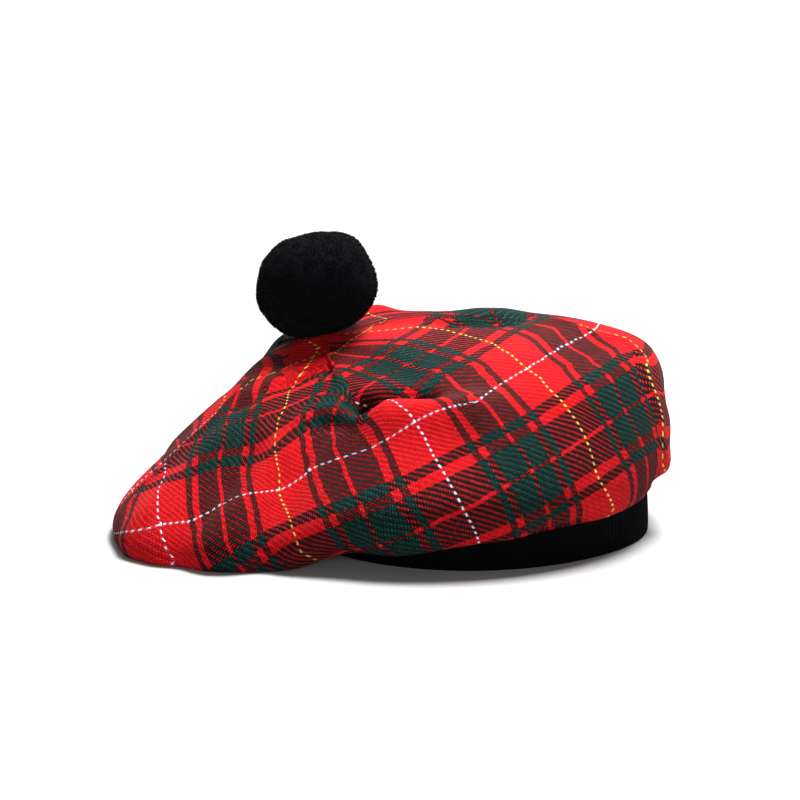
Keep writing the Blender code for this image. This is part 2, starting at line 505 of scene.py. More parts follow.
    def shader(
        self,
        base: object,
        roughness: float,
        specular: float,
        normal: Socket | None = None,
        sheen: float = 0.0,
        sheen_roughness: float = 0.5,
        sheen_tint: Colour = (1.0, 1.0, 1.0),
    ) -> None:
        """Finish a material with its Principled shader.

        Args:
            base: Colour or socket of the base.
            roughness: Its roughness.
            specular: Its specular level.
            normal: Normal socket, if any.
            sheen: Weight of the fuzz's sheen.
            sheen_roughness: The sheen's roughness.
            sheen_tint: The sheen's colour.
        """
        node = self.put("ShaderNodeBsdfPrincipled")
        self.feed(node.inputs["Base Color"], (*base, 1.0) if isinstance(base, tuple) else base)
        self.feed(node.inputs["Roughness"], roughness)
        self.feed(node.inputs["Specular IOR Level"], specular)
        self.feed(node.inputs["Normal"], normal)
        node.inputs["Sheen Weight"].default_value = sheen
        node.inputs["Sheen Roughness"].default_value = sheen_roughness
        node.inputs["Sheen Tint"].default_value = (*sheen_tint, 1.0)
        out = self.put("ShaderNodeOutputMaterial")
        self.tree.links.new(node.outputs["BSDF"], out.inputs["Surface"])


# ---------------------------------------------------------------- cloth finish


class Yarn(Enum):
    """The yarns of the tartan and their colours, as lit evenly."""

    RED = (0.62, 0.011, 0.018)
    GREEN = (0.007, 0.046, 0.038)
    WHITE = (0.80, 0.72, 0.86)
    YELLOW = (0.78, 0.54, 0.10)


@dataclass(frozen=True)
class Stripe:
    """One band of the tartan: its yarn and its number of threads, from the middle of the white line on."""

    yarn: Yarn
    threads: float


def half_sett(
    white: float, red: float, green: float, guard: float, broad: float, fine: float, yellow: float
) -> tuple[Stripe, ...]:
    """List the bands from the middle of a white line to the middle of the next yellow one.

    Args:
        white: Half of the white line.
        red: The wide red band.
        green: The narrow green band.
        guard: The narrow red band beside the wide green one.
        broad: The wide green band.
        fine: The fine red line between two wide green bands.
        yellow: Half of the yellow line.

    Returns:
        The bands in order.
    """
    threads = (red, green, guard, broad)
    side = tuple(Stripe(yarn, count) for yarn, count in zip((Yarn.RED, Yarn.GREEN) * 2, threads))
    inner = (*side, Stripe(Yarn.RED, fine), *side[::-1])
    return (Stripe(Yarn.WHITE, white), *inner, Stripe(Yarn.YELLOW, yellow))


@dataclass(frozen=True)
class Crossing:
    """A place in the weave, as sockets. Lengths are counted in threads.

    spot is the place as given, and across and down are the same with the threads' sway. The next four
    are the numbers of its two threads, and how far over each it lies. phase is its step in the twill's
    repeat, and warp_up is 1 where the thread that runs down is on top. upper and under are the two
    yarns' colours, red the red part of the upper one, and lone how much redder it is than the other.
    """

    spot: Socket
    across: Socket
    down: Socket
    across_number: Socket
    down_number: Socket
    across_part: Socket
    down_part: Socket
    phase: Socket
    warp_up: Socket
    upper: Socket
    under: Socket
    red: Socket
    lone: Socket


@dataclass(frozen=True)
class TartanTwill:
    """Wool twill in a red and green tartan, two threads over and two under.

    across and down are half the tartan each way. The threads sway by wander, in waves of sway_scale.
    gap_share is how much of a thread's pitch lies open beside it, and soft_edge how softly its edge
    ends; in the open gap the under yarn is multiplied by the upper one, as painted shade between them.
    A float widens over taper_run, and rises and lightens from painted shade over arch_run, from
    end_shade where it dives. bleed says how much of its neighbour's fuzz a dark thread takes, and
    sunk_painted_shade how much painted shade darkens it where it sinks between red ones; lone_shade and
    lone_width how much darker and narrower a red thread is among dark ones. A yarn counts as red from
    red_level on, and as bright, so plump, from bright_level on. wale_painted_light says how much lighter
    the diagonal ribs' crests and how much darker their valleys are painted, in green and in red, as
    painted light and shade, and wale_rise how much higher the crests stand. tone_spread and fuzz are
    how uneven the threads and their fibres are.
    """

    across: tuple[Stripe, ...] = half_sett(0.5, 18.25, 4.0, 4.0, 12.25, 2.0, 0.5)
    down: tuple[Stripe, ...] = half_sett(0.5, 25.75, 6.0, 5.5, 17.25, 2.0, 0.5)
    map_name: str = "cloth_threads"
    repeat: float = 4.0
    wander: float = 0.22
    sway_scale: float = 0.9
    sway_range: tuple[float, float] = (0.25, 0.75)
    gap_share: float = 0.36
    taper_run: float = 0.6
    arch_run: float = 0.8
    soft_edge: float = 0.22
    end_shade: float = 0.62
    bleed: float = 0.02
    sunk_painted_shade: float = 1.1
    lone_shade: float = 0.28
    lone_width: float = 0.72
    red_level: float = 0.7
    bright_level: float = 0.3
    wale_painted_light: tuple[float, float] = (0.50, 0.28)
    wale_rise: float = 0.40
    plump: float = 0.56
    tone_spread: float = 0.22
    thread_seed: float = 3.0
    knot_seed: float = 5.0
    fuzz: float = 0.26
    fibre_scale: float = 2.6
    fibre_detail: float = 3.0
    bump_m: float = 0.00035
    bump_strength: float = 0.8
    roughness: float = 0.9
    specular: float = 0.06
    sheen: float = 0.02
    sheen_tint: Colour = (1.0, 0.75, 0.75)

    @staticmethod
    def sett_ramp(graph: Graph, index: Socket, bands: tuple[Stripe, ...]) -> Socket:
        """Colour a thread by its number.

        Args:
            graph: The graph to build in.
            index: The thread's number, counted from a white line.
            bands: The bands of half the pattern, which mirrors at both ends.

        Returns:
            The thread's colour.
        """
        count = sum(band.threads for band in bands)
        place = graph.math("PINGPONG", index, count)
        ramp = graph.put("ShaderNodeValToRGB")
        ramp.color_ramp.interpolation = "CONSTANT"
        stops = ramp.color_ramp.elements
        while len(stops) < len(bands):
            stops.new(1.0)
        passed = 0.0
        for stop, band in zip(stops, bands):
            stop.position = passed / count
            stop.color = (*band.yarn.value, 1.0)
            passed += band.threads
        graph.feed(ramp.inputs["Fac"], graph.math("DIVIDE", place, count))
        return ramp.outputs["Color"]

    def crossing(self, graph: Graph, across: Socket, down: Socket) -> Crossing:
        """Work out which threads meet at a place, and which of them is on top.

        Args:
            graph: The graph to build in.
            across: The place's thread across.
            down: Its thread down.

        Returns:
            What the place's looks follow from.
        """
        spot = graph.place("ShaderNodeCombineXYZ", across, down).outputs[0]
        sway = graph.noise(spot, self.sway_scale)
        sway = graph.remap(sway, *self.sway_range, -self.wander, self.wander)
        u = graph.math("ADD", graph.math("ADD", across, sway), 0.5)
        v = graph.math("ADD", graph.math("SUBTRACT", down, sway), 0.5)
        numbers = [graph.math("FLOOR", place) for place in (u, v)]
        parts = [graph.math("FRACT", place) for place in (u, v)]
        phase = graph.math("FLOORED_MODULO", graph.math("ADD", *numbers), self.repeat)
        warp_up = graph.math("LESS_THAN", phase, self.repeat / 2 - 0.5)
        setts = (self.across, self.down)
        yarns = [self.sett_ramp(graph, number, bands) for number, bands in zip(numbers, setts)]
        under = graph.mix(warp_up, *yarns)
        upper = graph.mix(warp_up, *yarns[::-1])
        red = graph.channel(upper, 0)
        lone = graph.math("SUBTRACT", red, graph.channel(under, 0), clamp=True)
        return Crossing(spot, u, v, *numbers, *parts, phase, warp_up, upper, under, red, lone)

    def floats(self, graph: Graph, place: Crossing) -> tuple[Socket, Socket, Socket]:
        """Shape the stretch over which the upper thread lies on top.

        Args:
            graph: The graph to build in.
            place: The place in the weave.

        Returns:
            How near the place is to the stretch's middle, from 0 to 1; whether the thread covers it;
            and how high the thread stands there.
        """
        aside = graph.choose(place.warp_up, place.down_part, place.across_part)
        passed = [
            graph.math("DIVIDE", graph.math("ADD", place.phase, part), self.repeat / 2)
            for part in (place.across_part, place.down_part)
        ]
        on_float = graph.choose(place.warp_up, *passed)
        side = graph.math("ABSOLUTE", graph.math("SUBTRACT", aside, 0.5))
        along = graph.math("ABSOLUTE", graph.math("SINE", graph.times(on_float, math.pi)))
        widths = (0.5 - 1.5 * self.gap_share, 0.5 - self.gap_share / 2)
        edge = graph.remap(along, 0.0, self.taper_run, *widths)
        edge = graph.times(edge, graph.remap(place.lone, 0, self.red_level, 1.0, self.lone_width))
        bright = graph.math("GREATER_THAN", graph.channel(place.upper, 1), self.bright_level)
        edge = graph.math("MAXIMUM", edge, graph.times(bright, self.plump))
        inside = graph.math("SUBTRACT", 1.0, graph.math("DIVIDE", side, edge), clamp=True)
        covered = graph.remap(inside, 0.0, self.soft_edge, 0.0, 1.0, "SMOOTHSTEP")
        return along, covered, graph.math("POWER", inside, 0.5)

    def tone(self, graph: Graph, place: Crossing, wave: Socket) -> Socket:
        """Make threads, knots and fibres uneven, and paint the ribs' crests lighter and their valleys
        darker, as painted light and shade.

        Args:
            graph: The graph to build in.
            place: The place in the weave.
            wave: The wales' rise, from -1 to 1.

        Returns:
            What the yarn's colour is multiplied by.
        """
        spread = (1 - self.tone_spread, 1 + self.tone_spread)
        thread = graph.choose(place.warp_up, place.down_number, place.across_number)
        dye = graph.remap(graph.speckle(thread, place.warp_up, self.thread_seed), 0, 1, *spread)
        knot = graph.speckle(place.across_number, place.down_number, self.knot_seed)
        knot = graph.remap(knot, 0, 1, *spread)
        fibre = graph.noise(place.spot, self.fibre_scale, self.fibre_detail)
        fibre = graph.remap(fibre, *NOISE_RANGE, 1 - self.fuzz, 1 + self.fuzz)
        # Painted light and shade: the ribs' crests are painted lighter and their valleys darker, less so in
        # red yarn.
        painted_light_swing = graph.remap(place.red, 0.0, self.red_level, *self.wale_painted_light)
        crest = graph.math("ADD", graph.times(wave, painted_light_swing), 1.0)
        lone = graph.remap(place.lone, 0, self.red_level, 1.0, 1 - self.lone_shade)
        return graph.times(dye, fibre, knot, crest, lone)

    def among(self, graph: Graph, place: Crossing) -> Socket:
        """Darken dark yarn between bright neighbours with painted shade, as if sunk, and mix in a little of
        their fuzz.

        Args:
            graph: The graph to build in.
            place: The place in the weave.

        Returns:
            The upper yarn's colour among its neighbours.
        """
        # Painted shade: the redder the yarn underneath, the darker the upper yarn is painted.
        sunk = graph.math("SUBTRACT", graph.channel(place.under, 0), place.red, clamp=True)
        share = graph.math("SUBTRACT", 1.0, graph.times(sunk, self.sunk_painted_shade), clamp=True)
        return graph.mix(self.bleed, graph.scaled(place.upper, share), place.under)

    def weave_group(self) -> Graph:
        """Build the node group that turns cloth coordinates in threads into the weave.

        Returns:
            The group: its outputs are the yarn's colour and the threads' height, about 0 to 1.
        """
        outputs = {"Colour": "NodeSocketColor", "Height": "NodeSocketFloat"}
        graph = Graph.for_group("two_up_two_down", {"Across": 0.0, "Down": 0.0}, outputs)
        given = graph.put("NodeGroupInput").outputs
        place = self.crossing(graph, given["Across"], given["Down"])
        along, covered, roundness = self.floats(graph, place)
        # Painted shade at each float's ends, where it dives under the crossing threads; the same arch also
        # shapes the bump's height.
        arch_bump_and_painted_shade = graph.remap(along, 0.0, self.arch_run, self.end_shade, 1.0)
        diagonal = graph.math("ADD", place.across, place.down)
        wave = graph.math("SINE", graph.times(diagonal, 2 * math.pi / self.repeat))
        over = self.among(graph, place)
        # The float's colour carries the painted rib light and the painted end shade.
        lit = graph.scaled(over, graph.times(self.tone(graph, place, wave), arch_bump_and_painted_shade))
        # Painted shade in the gaps between threads: the under yarn multiplied by the upper one.
        painted_gap_shade = graph.mix(1.0, over, place.under, "MULTIPLY")
        rise = graph.times(wave, self.wale_rise)
        out = graph.put("NodeGroupOutput")
        graph.feed(out.inputs["Colour"], graph.mix(covered, painted_gap_shade, lit))
        graph.feed(out.inputs["Height"], graph.math("ADD", graph.times(roundness, covered, arch_bump_and_painted_shade), rise))
        return graph

    def build(self) -> bpy.types.Material:
        """Make the cloth's material.

        Returns:
            The material.
        """
        graph = Graph.for_material("tartan_twill")
        cloth = graph.put("ShaderNodeUVMap", uv_map=self.map_name)
        parts = graph.place("ShaderNodeSeparateXYZ", cloth.outputs[0])
        weave = graph.use(self.weave_group(), Across=parts.outputs[0], Down=parts.outputs[1])
        graph.shader(
            base=weave["Colour"],
            roughness=self.roughness,
            specular=self.specular,
            normal=graph.bump(weave["Height"], self.bump_m, self.bump_strength),
            sheen=self.sheen,
            sheen_tint=self.sheen_tint,
        )
        return graph.material


@dataclass(frozen=True)
class BlackWool:
    """Black wool: its fibres show as fine noise, and its clumps as noise broad_step times as wide."""

    name: str
    colour: Colour
    grain_per_m: float
    sheen: float
    bump_m: float = 0.0005
    fine_detail: float = 4.0
    fine_tone: tuple[float, float] = (0.55, 1.5)
    broad_step: float = 12.0
    broad_tone: tuple[float, float] = (0.8, 1.2)
    roughness: float = 0.95
    specular: float = 0.03
    sheen_roughness: float = 0.4
    sheen_tint: Colour = (0.75, 0.8, 1.0)

    def build(self) -> bpy.types.Material:
        """Make the material.

        Returns:
            The material.
        """
        graph = Graph.for_material(self.name)
        place = graph.put("ShaderNodeTexCoord").outputs["Object"]
        fine = graph.noise(place, self.grain_per_m, self.fine_detail)
        broad = graph.noise(place, self.grain_per_m / self.broad_step)
        fine_tone = graph.remap(fine, *NOISE_RANGE, *self.fine_tone)
        broad_tone = graph.remap(broad, *NOISE_RANGE, *self.broad_tone)
        graph.shader(
            base=graph.scaled(self.colour, graph.times(fine_tone, broad_tone)),
            roughness=self.roughness,
            specular=self.specular,
            normal=graph.bump(fine, self.bump_m),
            sheen=self.sheen,
            sheen_roughness=self.sheen_roughness,
            sheen_tint=self.sheen_tint,
        )
        return graph.material


# ---------------------------------------------------------------- headband


@dataclass(frozen=True)
class BandOutline:
    """The headband's oval, which the crown's mouth is sewn to."""

    centre_mm: tuple[float, float] = (45.0, -17.0)
    radius_mm: float = 91.0
    pull_mm: float = 5.0
    pull_turn_deg: float = -45.0
    wall_mm: float = 3.2
    height_mm: float = 24.0
    flare_mm: float = 0.8

    def radius(self, angles: np.ndarray) -> np.ndarray:
        """Give the outside radius in each direction, in radians."""
        toward = np.maximum(np.cos(angles - math.radians(self.pull_turn_deg)), 0)
        return self.radius_mm - self.pull_mm * toward**4


@dataclass(frozen=True)
class KnitBand:
    """The headband of fine ribbed knitting.

    The ribs stand out by rib_mm, less at the rounded edges by lip_ribbed and top_ribbed, and the wall
    leans out and slumps a little between its edges.
    """

    outline: BandOutline
    ribs: int = 180
    rib_mm: float = 0.4
    columns_per_rib: int = 6
    groove_power: float = 1.5
    rounding_mm: float = 1.1
    lip_share: float = 0.3
    lip_ribbed: float = 0.4
    top_ribbed: float = 0.2
    slump_mm: float = 0.35
    levels: int = 14
    finish: BlackWool = BlackWool("black_knit_yarn", (0.0016, 0.0016, 0.0022), 900.0, sheen=0.01)

    def profile(self) -> list[tuple[float, float, float]]:
        """Draw the wall's outline.

        Returns:
            Distance inside the outer radius, height, and share of the rib's depth, for each place.
        """
        low, top, wall = self.rounding_mm, self.outline.height_mm, self.outline.wall_mm
        lip = low * self.lip_share
        rows = [(wall - low, 0.0, 0.0), (low, 0.0, 0.0), (lip, lip, self.lip_ribbed)]
        for level in range(self.levels + 1):
            share = level / self.levels
            slump = self.slump_mm * math.sin(math.pi * share)
            rows.append((self.outline.flare_mm * share - slump, low + (top - 2 * low) * share, 1.0))
        rows += [(self.outline.flare_mm + low, top, self.top_ribbed), (wall - low, top, 0.0)]
        rows += [(wall, height, 1.0) for height in (top - low, top / 2, low)]
        return rows

    def build(self, origin_mm: np.ndarray) -> bpy.types.Object:
        """Make the band.

        Args:
            origin_mm: The frame's zero in the hat's layout.

        Returns:
            The piece.
        """
        columns = self.ribs * self.columns_per_rib
        angles = np.arange(columns) * 2 * math.pi / columns
        ray = np.column_stack((np.cos(angles), np.sin(angles)))
        groove = (0.5 - 0.5 * np.cos(angles * self.ribs)) ** self.groove_power
        rows = self.profile()
        points = []
        for inset, height, ribbed in rows:
            inward = -1 if inset >= self.outline.wall_mm else 1
            cut = ribbed * self.rib_mm * groove * inward
            reach = self.outline.radius(angles) - inset - cut
            flat = np.array(self.outline.centre_mm) + ray * reach[:, None]
            points.append(np.column_stack((flat, np.full(columns, height))))
        faces = []
        for i in range(len(rows)):
            below, above = i * columns, (i + 1) % len(rows) * columns
            for j in range(columns):
                k = (j + 1) % columns
                faces.append((below + j, below + k, above + k, above + j))
        band = mesh_object("knit_headband", np.vstack(points), faces, origin_mm)
        band.data.materials.append(self.finish.build())
        return band


# ---------------------------------------------------------------- crown's shape


@dataclass(frozen=True)
class Section:
    """One upright section through the crown.

    turn is its direction in degrees, anticlockwise from the right-hand side. side and rise say how far
    the cloth halfway out to the crest lies to the left of a straight line, and above it. The rest is
    distance out from the middle, and height, of four places down the section.
    """

    turn: float
    side: float
    rise: float
    crest_out: float
    crest_up: float
    shoulder_out: float
    shoulder_up: float
    rim_out: float
    rim_up: float
    hem_out: float
    hem_up: float


Places = tuple[tuple[float, float], ...]


@dataclass(frozen=True)
class Fold:
    """A ridge or dent along a line of places on the crown, each a turn and a step down the section.

    Steps are 0 apex, 1 halfway, 2 crest, 3 shoulder, 4 rim, 5 hem, 6 headband. The cloth stands that
    far out, or in if below 0, and fades over the width to either side.
    """

    places: Places
    width: float
    height: float


@dataclass(frozen=True)
class Drift:
    """A column of the grid led along a seam or dart: its turn at each step, and how wide it pulls others."""

    column_turn: float
    places: Places
    spread: float
    smoothings: int = 3

    def shift(self, turns: np.ndarray, steps: np.ndarray) -> np.ndarray:
        """Pull the grid's columns round.

        Args:
            turns: The columns' turns.
            steps: The rings' steps.

        Returns:
            How far each ring and column moves, in degrees.
        """
        led = np.interp(steps, [step for _, step in self.places], [turn for turn, _ in self.places])
        led = led - self.column_turn
        for _ in range(self.smoothings):
            led[1:-1] = (led[:-2] + 2 * led[1:-1] + led[2:]) / 4
        gap = degrees_between(turns, self.column_turn)
        return led[:, None] * np.exp(-((gap / self.spread) ** 2))[None, :]


@dataclass(frozen=True)
class ClothGrid:
    """Points of the crown's outside: ring, column, xyz, with the columns' turns and the rings' steps."""

    points: np.ndarray
    turns: np.ndarray
    steps: np.ndarray

    def normals(self) -> np.ndarray:
        """Work out the outward normals.

        Returns:
            One for each point.
        """
        around = np.roll(self.points, -1, axis=1) - np.roll(self.points, 1, axis=1)
        down = np.gradient(self.points, axis=0)
        around[0] = around[1]
        normals = unit(np.cross(around, -down))
        normals[0] = unit(normals[0].mean(axis=0))
        return normals


@dataclass(frozen=True)
class CrownForm:
    """The crown's outside as a surface over turn and step, with its folds and dents.

    The columns crowd together at the front by front_crowding_deg. The folds fade out over the steps
    before folds_end.
    """

    band: BandOutline
    apex_mm: tuple[float, float, float] = (-34.0, 23.0, 96.0)
    seat_overhang_mm: float = 1.8
    gap_mm: float = 0.3
    front_crowding_deg: float = 13.0
    first_turn: float = -6.0
    folds_end: float = 5.6
    folds_fade: float = 0.6
    sections: tuple[Section, ...] = (
        Section(-6, 30, 2, 117, 103.5, 137.5, 91.5, 145, 36, 137.5, 24.8),
        Section(12, 22, 4, 114, 101, 137, 89, 145, 39, 136, 24),
        Section(32, 10, 5, 104, 98, 132, 80, 141, 42, 130, 22),
        Section(60, 0, 4, 84, 97, 118, 80, 134, 42, 122, 20),
        Section(90, 0, 3, 78, 96, 110, 76, 132, 38, 118, 15),
        Section(120, 0, 3, 72, 93, 102, 66, 130, 26, 118, 6),
        Section(150, 0, 1, 70, 88, 100, 52, 132, 14, 126, 1),
        Section(178, 0, 1, 71, 84, 103, 51, 139.5, 11, 139.5, 0.6),
        Section(193, 0, 0, 77, 78, 111, 47, 147.5, 9, 146.5, 0.5),
        Section(206, 0, 0, 80, 73, 117, 42.5, 153, 9, 152, 0.5),
        Section(218, 0, 0, 80, 68, 114, 42, 154, 9, 153, 0.5),
        Section(230, 0, 0, 78, 66, 108, 43, 144, 12, 141, 0.5),
        Section(244, 0, 0, 70, 70, 98, 46, 127, 15, 122, 1.0),
        Section(259, -5.5, 0, 65, 76, 98, 54, 121.5, 28, 111, 10),
        Section(272, 0, 0, 66, 79, 106, 56, 127, 33, 117, 10.5),
        Section(288, 0, 0, 68, 82, 108, 63, 133, 38, 122, 15.5),
        Section(305, 2, 2, 72, 89, 115, 74, 139, 40, 129, 18.5),
        Section(325, 10, 3, 88, 96, 127, 84, 144, 40, 136, 21.5),
        Section(342, 22, 3, 106, 101, 135.5, 90, 145, 36, 138.5, 24),
    )
    folds: tuple[Fold, ...] = (
        Fold(((257, 1.84), (259.5, 2.12)), 6, -8),
        Fold(((257, 1.84), (262.6, 1.84), (267.4, 1.86), (276.3, 1.90), (281.2, 1.93), (287, 2.02)), 5, -7),
        Fold(((266.2, 2.30), (273, 2.33), (281, 2.40), (296, 2.58)), 14, 9),
        Fold(((258, 2.05), (262, 2.12)), 5, -5),
        Fold(((204.2, 1.84), (207, 1.52), (211.5, 1.21), (220.5, 0.86), (234.7, 0.59)), 6, 1.5),
        Fold(((203.1, 2.17), (205.7, 2.00), (209.9, 1.60), (216, 1.34), (224.4, 1.00), (236.7, 0.78),
              (250, 0.86)), 4.5, -2.2),
        Fold(((232.7, 1.89), (236.1, 1.76), (241.5, 1.81), (247.8, 1.90), (251.9, 2.04), (257, 2.31)),
             5, 2.2),
        Fold(((239.8, 2.01), (246.5, 2.14), (254, 2.39)), 4, -1.5),
        Fold(((-6, 0.85), (-6, 1.15)), 14, -6),
        Fold(((354.7, 1.55), (349.8, 1.87), (353, 2.28), (348.5, 2.71), (342.7, 3.19), (344.8, 3.59),
              (346.7, 3.84)), 4, 1.2),
        Fold(((192.5, 2.03), (195, 2.33), (197.2, 2.50), (196.8, 2.66), (195.4, 2.85), (195.8, 3.08),
              (197.2, 3.28), (196, 3.50)), 3.5, 1.2),
        Fold(((158, 2.15), (171, 2.50)), 16, -2.9),
        Fold(((139, 1.80), (146, 1.90)), 12, 3),
        Fold(((174, 2.65), (174, 3.35)), 10, 1.9),
        Fold(((174.7, 3.58), (176.5, 3.78)), 12, -4.4),
        Fold(((308, 5.0), (315, 5.0)), 10, -3),
        Fold(((349, 4.08), (352, 4.00)), 8, 2.5),
        Fold(((356, 3.40), (362, 3.50)), 10, -2.2),
        Fold(((343, 4.62), (348, 4.62)), 6, -2.5),
        Fold(((100, 1.50), (92, 1.65)), 9, 4.2),
        Fold(((40, 1.67), (46, 1.67)), 14, 2),
        Fold(((210, 2.60), (210, 4.00)), 12, 3),
        Fold(((224, 2.60), (224, 4.00)), 10, -4),
        Fold(((232, 2.60), (232, 4.00)), 11, 3),
        Fold(((241, 2.20), (241, 4.00)), 9, -4),
    )
    drifts: tuple[Drift, ...] = (
        Drift(-6.0, ((-6, 0), (18, 0.3), (18, 0.8), (10, 1.15), (2, 1.38), (-5.3, 1.55), (-8.1, 1.74),
                     (-10, 1.87), (-9.5, 2.04), (-7.5, 2.35), (-15.5, 2.71), (-20.4, 3.07), (-21, 3.19),
                     (-19.5, 3.4), (-17.5, 3.84), (-9.5, 4.6), (-6, 5.5)), 40.0),
        Drift(190.0, ((160, 0), (160, 0.8), (160, 1.6), (172, 1.80), (184, 1.93), (192.5, 2.03),
                      (194, 2.12), (195, 2.33), (197.2, 2.50), (196.8, 2.66), (195.4, 2.85), (195.8, 3.08),
                      (197.2, 3.28), (196, 3.50), (193.5, 3.70), (191, 3.90), (190, 4.5), (190, 7)), 24.0),
        Drift(259.0, ((262, 0), (262, 0.31), (258.3, 0.69), (261, 1.07), (261, 1.25), (258.5, 1.44),
                      (255.4, 1.60), (254.5, 1.71), (257, 1.78), (259, 1.90), (260.5, 2.10), (262, 2.33),
                      (263, 2.45), (259, 3.2), (259, 7)), 22.0),
    )

    def stations(self, turns: np.ndarray) -> np.ndarray:
        """Work out the places that sections pass through, from the apex to the headband.

        Args:
            turns: The sections' turns.

        Returns:
            The places: station, section, xyz.
        """
        table = [astuple(section)[1:] for section in self.sections]
        side, rise, *reach = smooth_cycle([section.turn for section in self.sections], table, turns).T
        outward = np.stack((np.cos(np.radians(turns)), np.sin(np.radians(turns))), axis=1)
        rings = [
            np.column_stack((outward * out[:, None], up)) for out, up in zip(reach[0::2], reach[1::2])
        ]
        apex = np.repeat(np.array(self.apex_mm)[None], len(turns), axis=0)
        along = unit(rings[0][:, :2] - apex[:, :2])
        aside = np.column_stack((-along[:, 1] * side, along[:, 0] * side, rise))
        halfway = (apex + rings[0]) / 2 + aside
        centre = np.array(self.band.centre_mm)
        toward = rings[-1][:, :2] - centre
        angles = np.arctan2(toward[:, 1], toward[:, 0])
        ray = np.column_stack((np.cos(angles), np.sin(angles)))
        outer = self.band.radius(angles)[:, None]
        height = np.full(len(turns), self.band.height_mm + self.gap_mm)
        seat = np.column_stack((centre + ray * (outer + self.seat_overhang_mm), height))
        lip = np.column_stack((centre + ray * (outer - self.band.wall_mm + self.gap_mm), height))
        return np.array([apex, halfway, *rings, seat, lip])

    def surface(self, turns: np.ndarray, steps: np.ndarray) -> np.ndarray:
        """Give points of the crown without its folds.

        Args:
            turns: The points' turns.
            steps: Their steps down the section.

        Returns:
            The points.
        """
        stations = self.stations(turns)
        lengths = np.linalg.norm(np.diff(stations, axis=0), axis=2)[:, :, None]
        chords = np.diff(stations, axis=0) / lengths
        last = len(chords) - 1
        between = (chords[: last - 1] + chords[1:last]) / 2
        tangents = np.array([chords[0], *between, chords[last - 1], chords[last]])
        span = np.clip(steps.astype(int), 0, last)
        each = np.arange(len(turns))
        part = (steps - span)[:, None]
        near, far = stations[span, each], stations[span + 1, each]
        length = lengths[span, each]
        leaving = tangents[span, each] * length
        arriving = tangents[np.minimum(span + 1, last), each] * length
        straight = near + (far - near) * part
        return np.where((span == last)[:, None], straight, eased(near, far, leaving, arriving, part))

    def line_on(self, places: Places, count: int = 25) -> np.ndarray:
        """Draw a line on the crown.

        Args:
            places: The turns and steps that it passes.
            count: How many points it gets.

        Returns:
            The points.
        """
        knots = np.linspace(0, len(places) - 1, count)
        whole = np.arange(len(places))
        turns = np.interp(knots, whole, [turn for turn, _ in places])
        return self.surface(turns, np.interp(knots, whole, [step for _, step in places]))

    def folded(self, plain: ClothGrid) -> ClothGrid:
        """Press the folds and dents into a grid.

        Args:
            plain: The grid without them.

        Returns:
            The grid with them.
        """
        points = plain.points
        lift = np.zeros(points.shape[:2])
        for fold in self.folds:
            line = self.line_on(fold.places)
            distance = np.full(points.shape[:2], np.inf)
            for start, end in zip(line[:-1], line[1:]):
                run = end - start
                along = np.clip((points - start) @ run / (run @ run), 0, 1)
                nearest = start + along[:, :, None] * run
                distance = np.minimum(distance, np.linalg.norm(points - nearest, axis=2))
            lift += fold.height * np.exp(-((distance / fold.width) ** 2))
        lift[0] = lift[1].mean()
        fade = np.clip((self.folds_end - plain.steps) / self.folds_fade, 0, 1)
        moved = points + plain.normals() * (lift * fade[:, None])[:, :, None]
        return ClothGrid(moved, plain.turns, plain.steps)

    def grid(self, columns: int, span_rings: Sequence[int]) -> ClothGrid:
        """Sample the surface.

        Args:
            columns: Number of columns round the crown, the first on the side seam.
            span_rings: How many rings each span between two stations gets.

        Returns:
            The grid.
        """
        share = np.arange(columns) / columns
        crowded = self.crowded(share)
        turns = crowded + self.first_turn - crowded[0]
        parts = [k + np.arange(1, count + 1) / count for k, count in enumerate(span_rings)]
        steps = np.concatenate(([0.0], *parts, [len(span_rings) + 1.0]))
        led = turns[None, :] + sum(drift.shift(turns, steps) for drift in self.drifts)
        down = np.repeat(steps[:, None], columns, axis=1)
        points = self.surface(led.ravel(), down.ravel()).reshape(len(steps), columns, 3)
        return self.folded(ClothGrid(points, turns, steps))

    def crowded(self, share: np.ndarray) -> np.ndarray:
        """Spread shares of a turn over the degrees, closer together at the front, three quarters round."""
        return share * 360 - self.front_crowding_deg * np.sin(2 * math.pi * (share - 0.75))


# ---------------------------------------------------------------- cloth laid flat


class Along(Enum):
    """Which way a line of the tartan runs, so which of its two coordinates stays the same."""

    ACROSS = 1
    DOWN = 0


@dataclass(frozen=True)
class TartanLine:
    """A line of the tartan as it is seen: the thread that it lies on, and pixels that it passes."""

    name: str
    runs: Along
    thread: float
    seen_at: Places


@dataclass(frozen=True)
class Cut:
    """A seam or dart where the tartan doesn't run on: its turn, and how many steps down it reaches."""

    turn: float
    last_step: float


@dataclass(frozen=True)
class Pins:
    """Places on the crown where one coordinate of the cloth is known, with a row for each.

    Each place lies in a triangle of three numbered points, with a share of each.
    """

    axis: np.ndarray
    numbers: np.ndarray
    shares: np.ndarray
    place: np.ndarray
    pull: np.ndarray

    def read(self, cloth: np.ndarray) -> np.ndarray:
        """Give the coordinates that the cloth has at the pins."""
        return (cloth[self.numbers, self.axis[:, None]] * self.shares).sum(1)

    def add(self, total: np.ndarray, force: np.ndarray) -> None:
        """Share each pin's force among its three points.

        Args:
            total: The forces on all points, which these are added to.
            force: The force at each pin.
        """
        for axis in (0, 1):
            mine = self.axis == axis
            for k in range(3):
                shared = force[mine] * self.shares[mine, k]
                total[:, axis] += np.bincount(self.numbers[mine, k], shared, len(total))


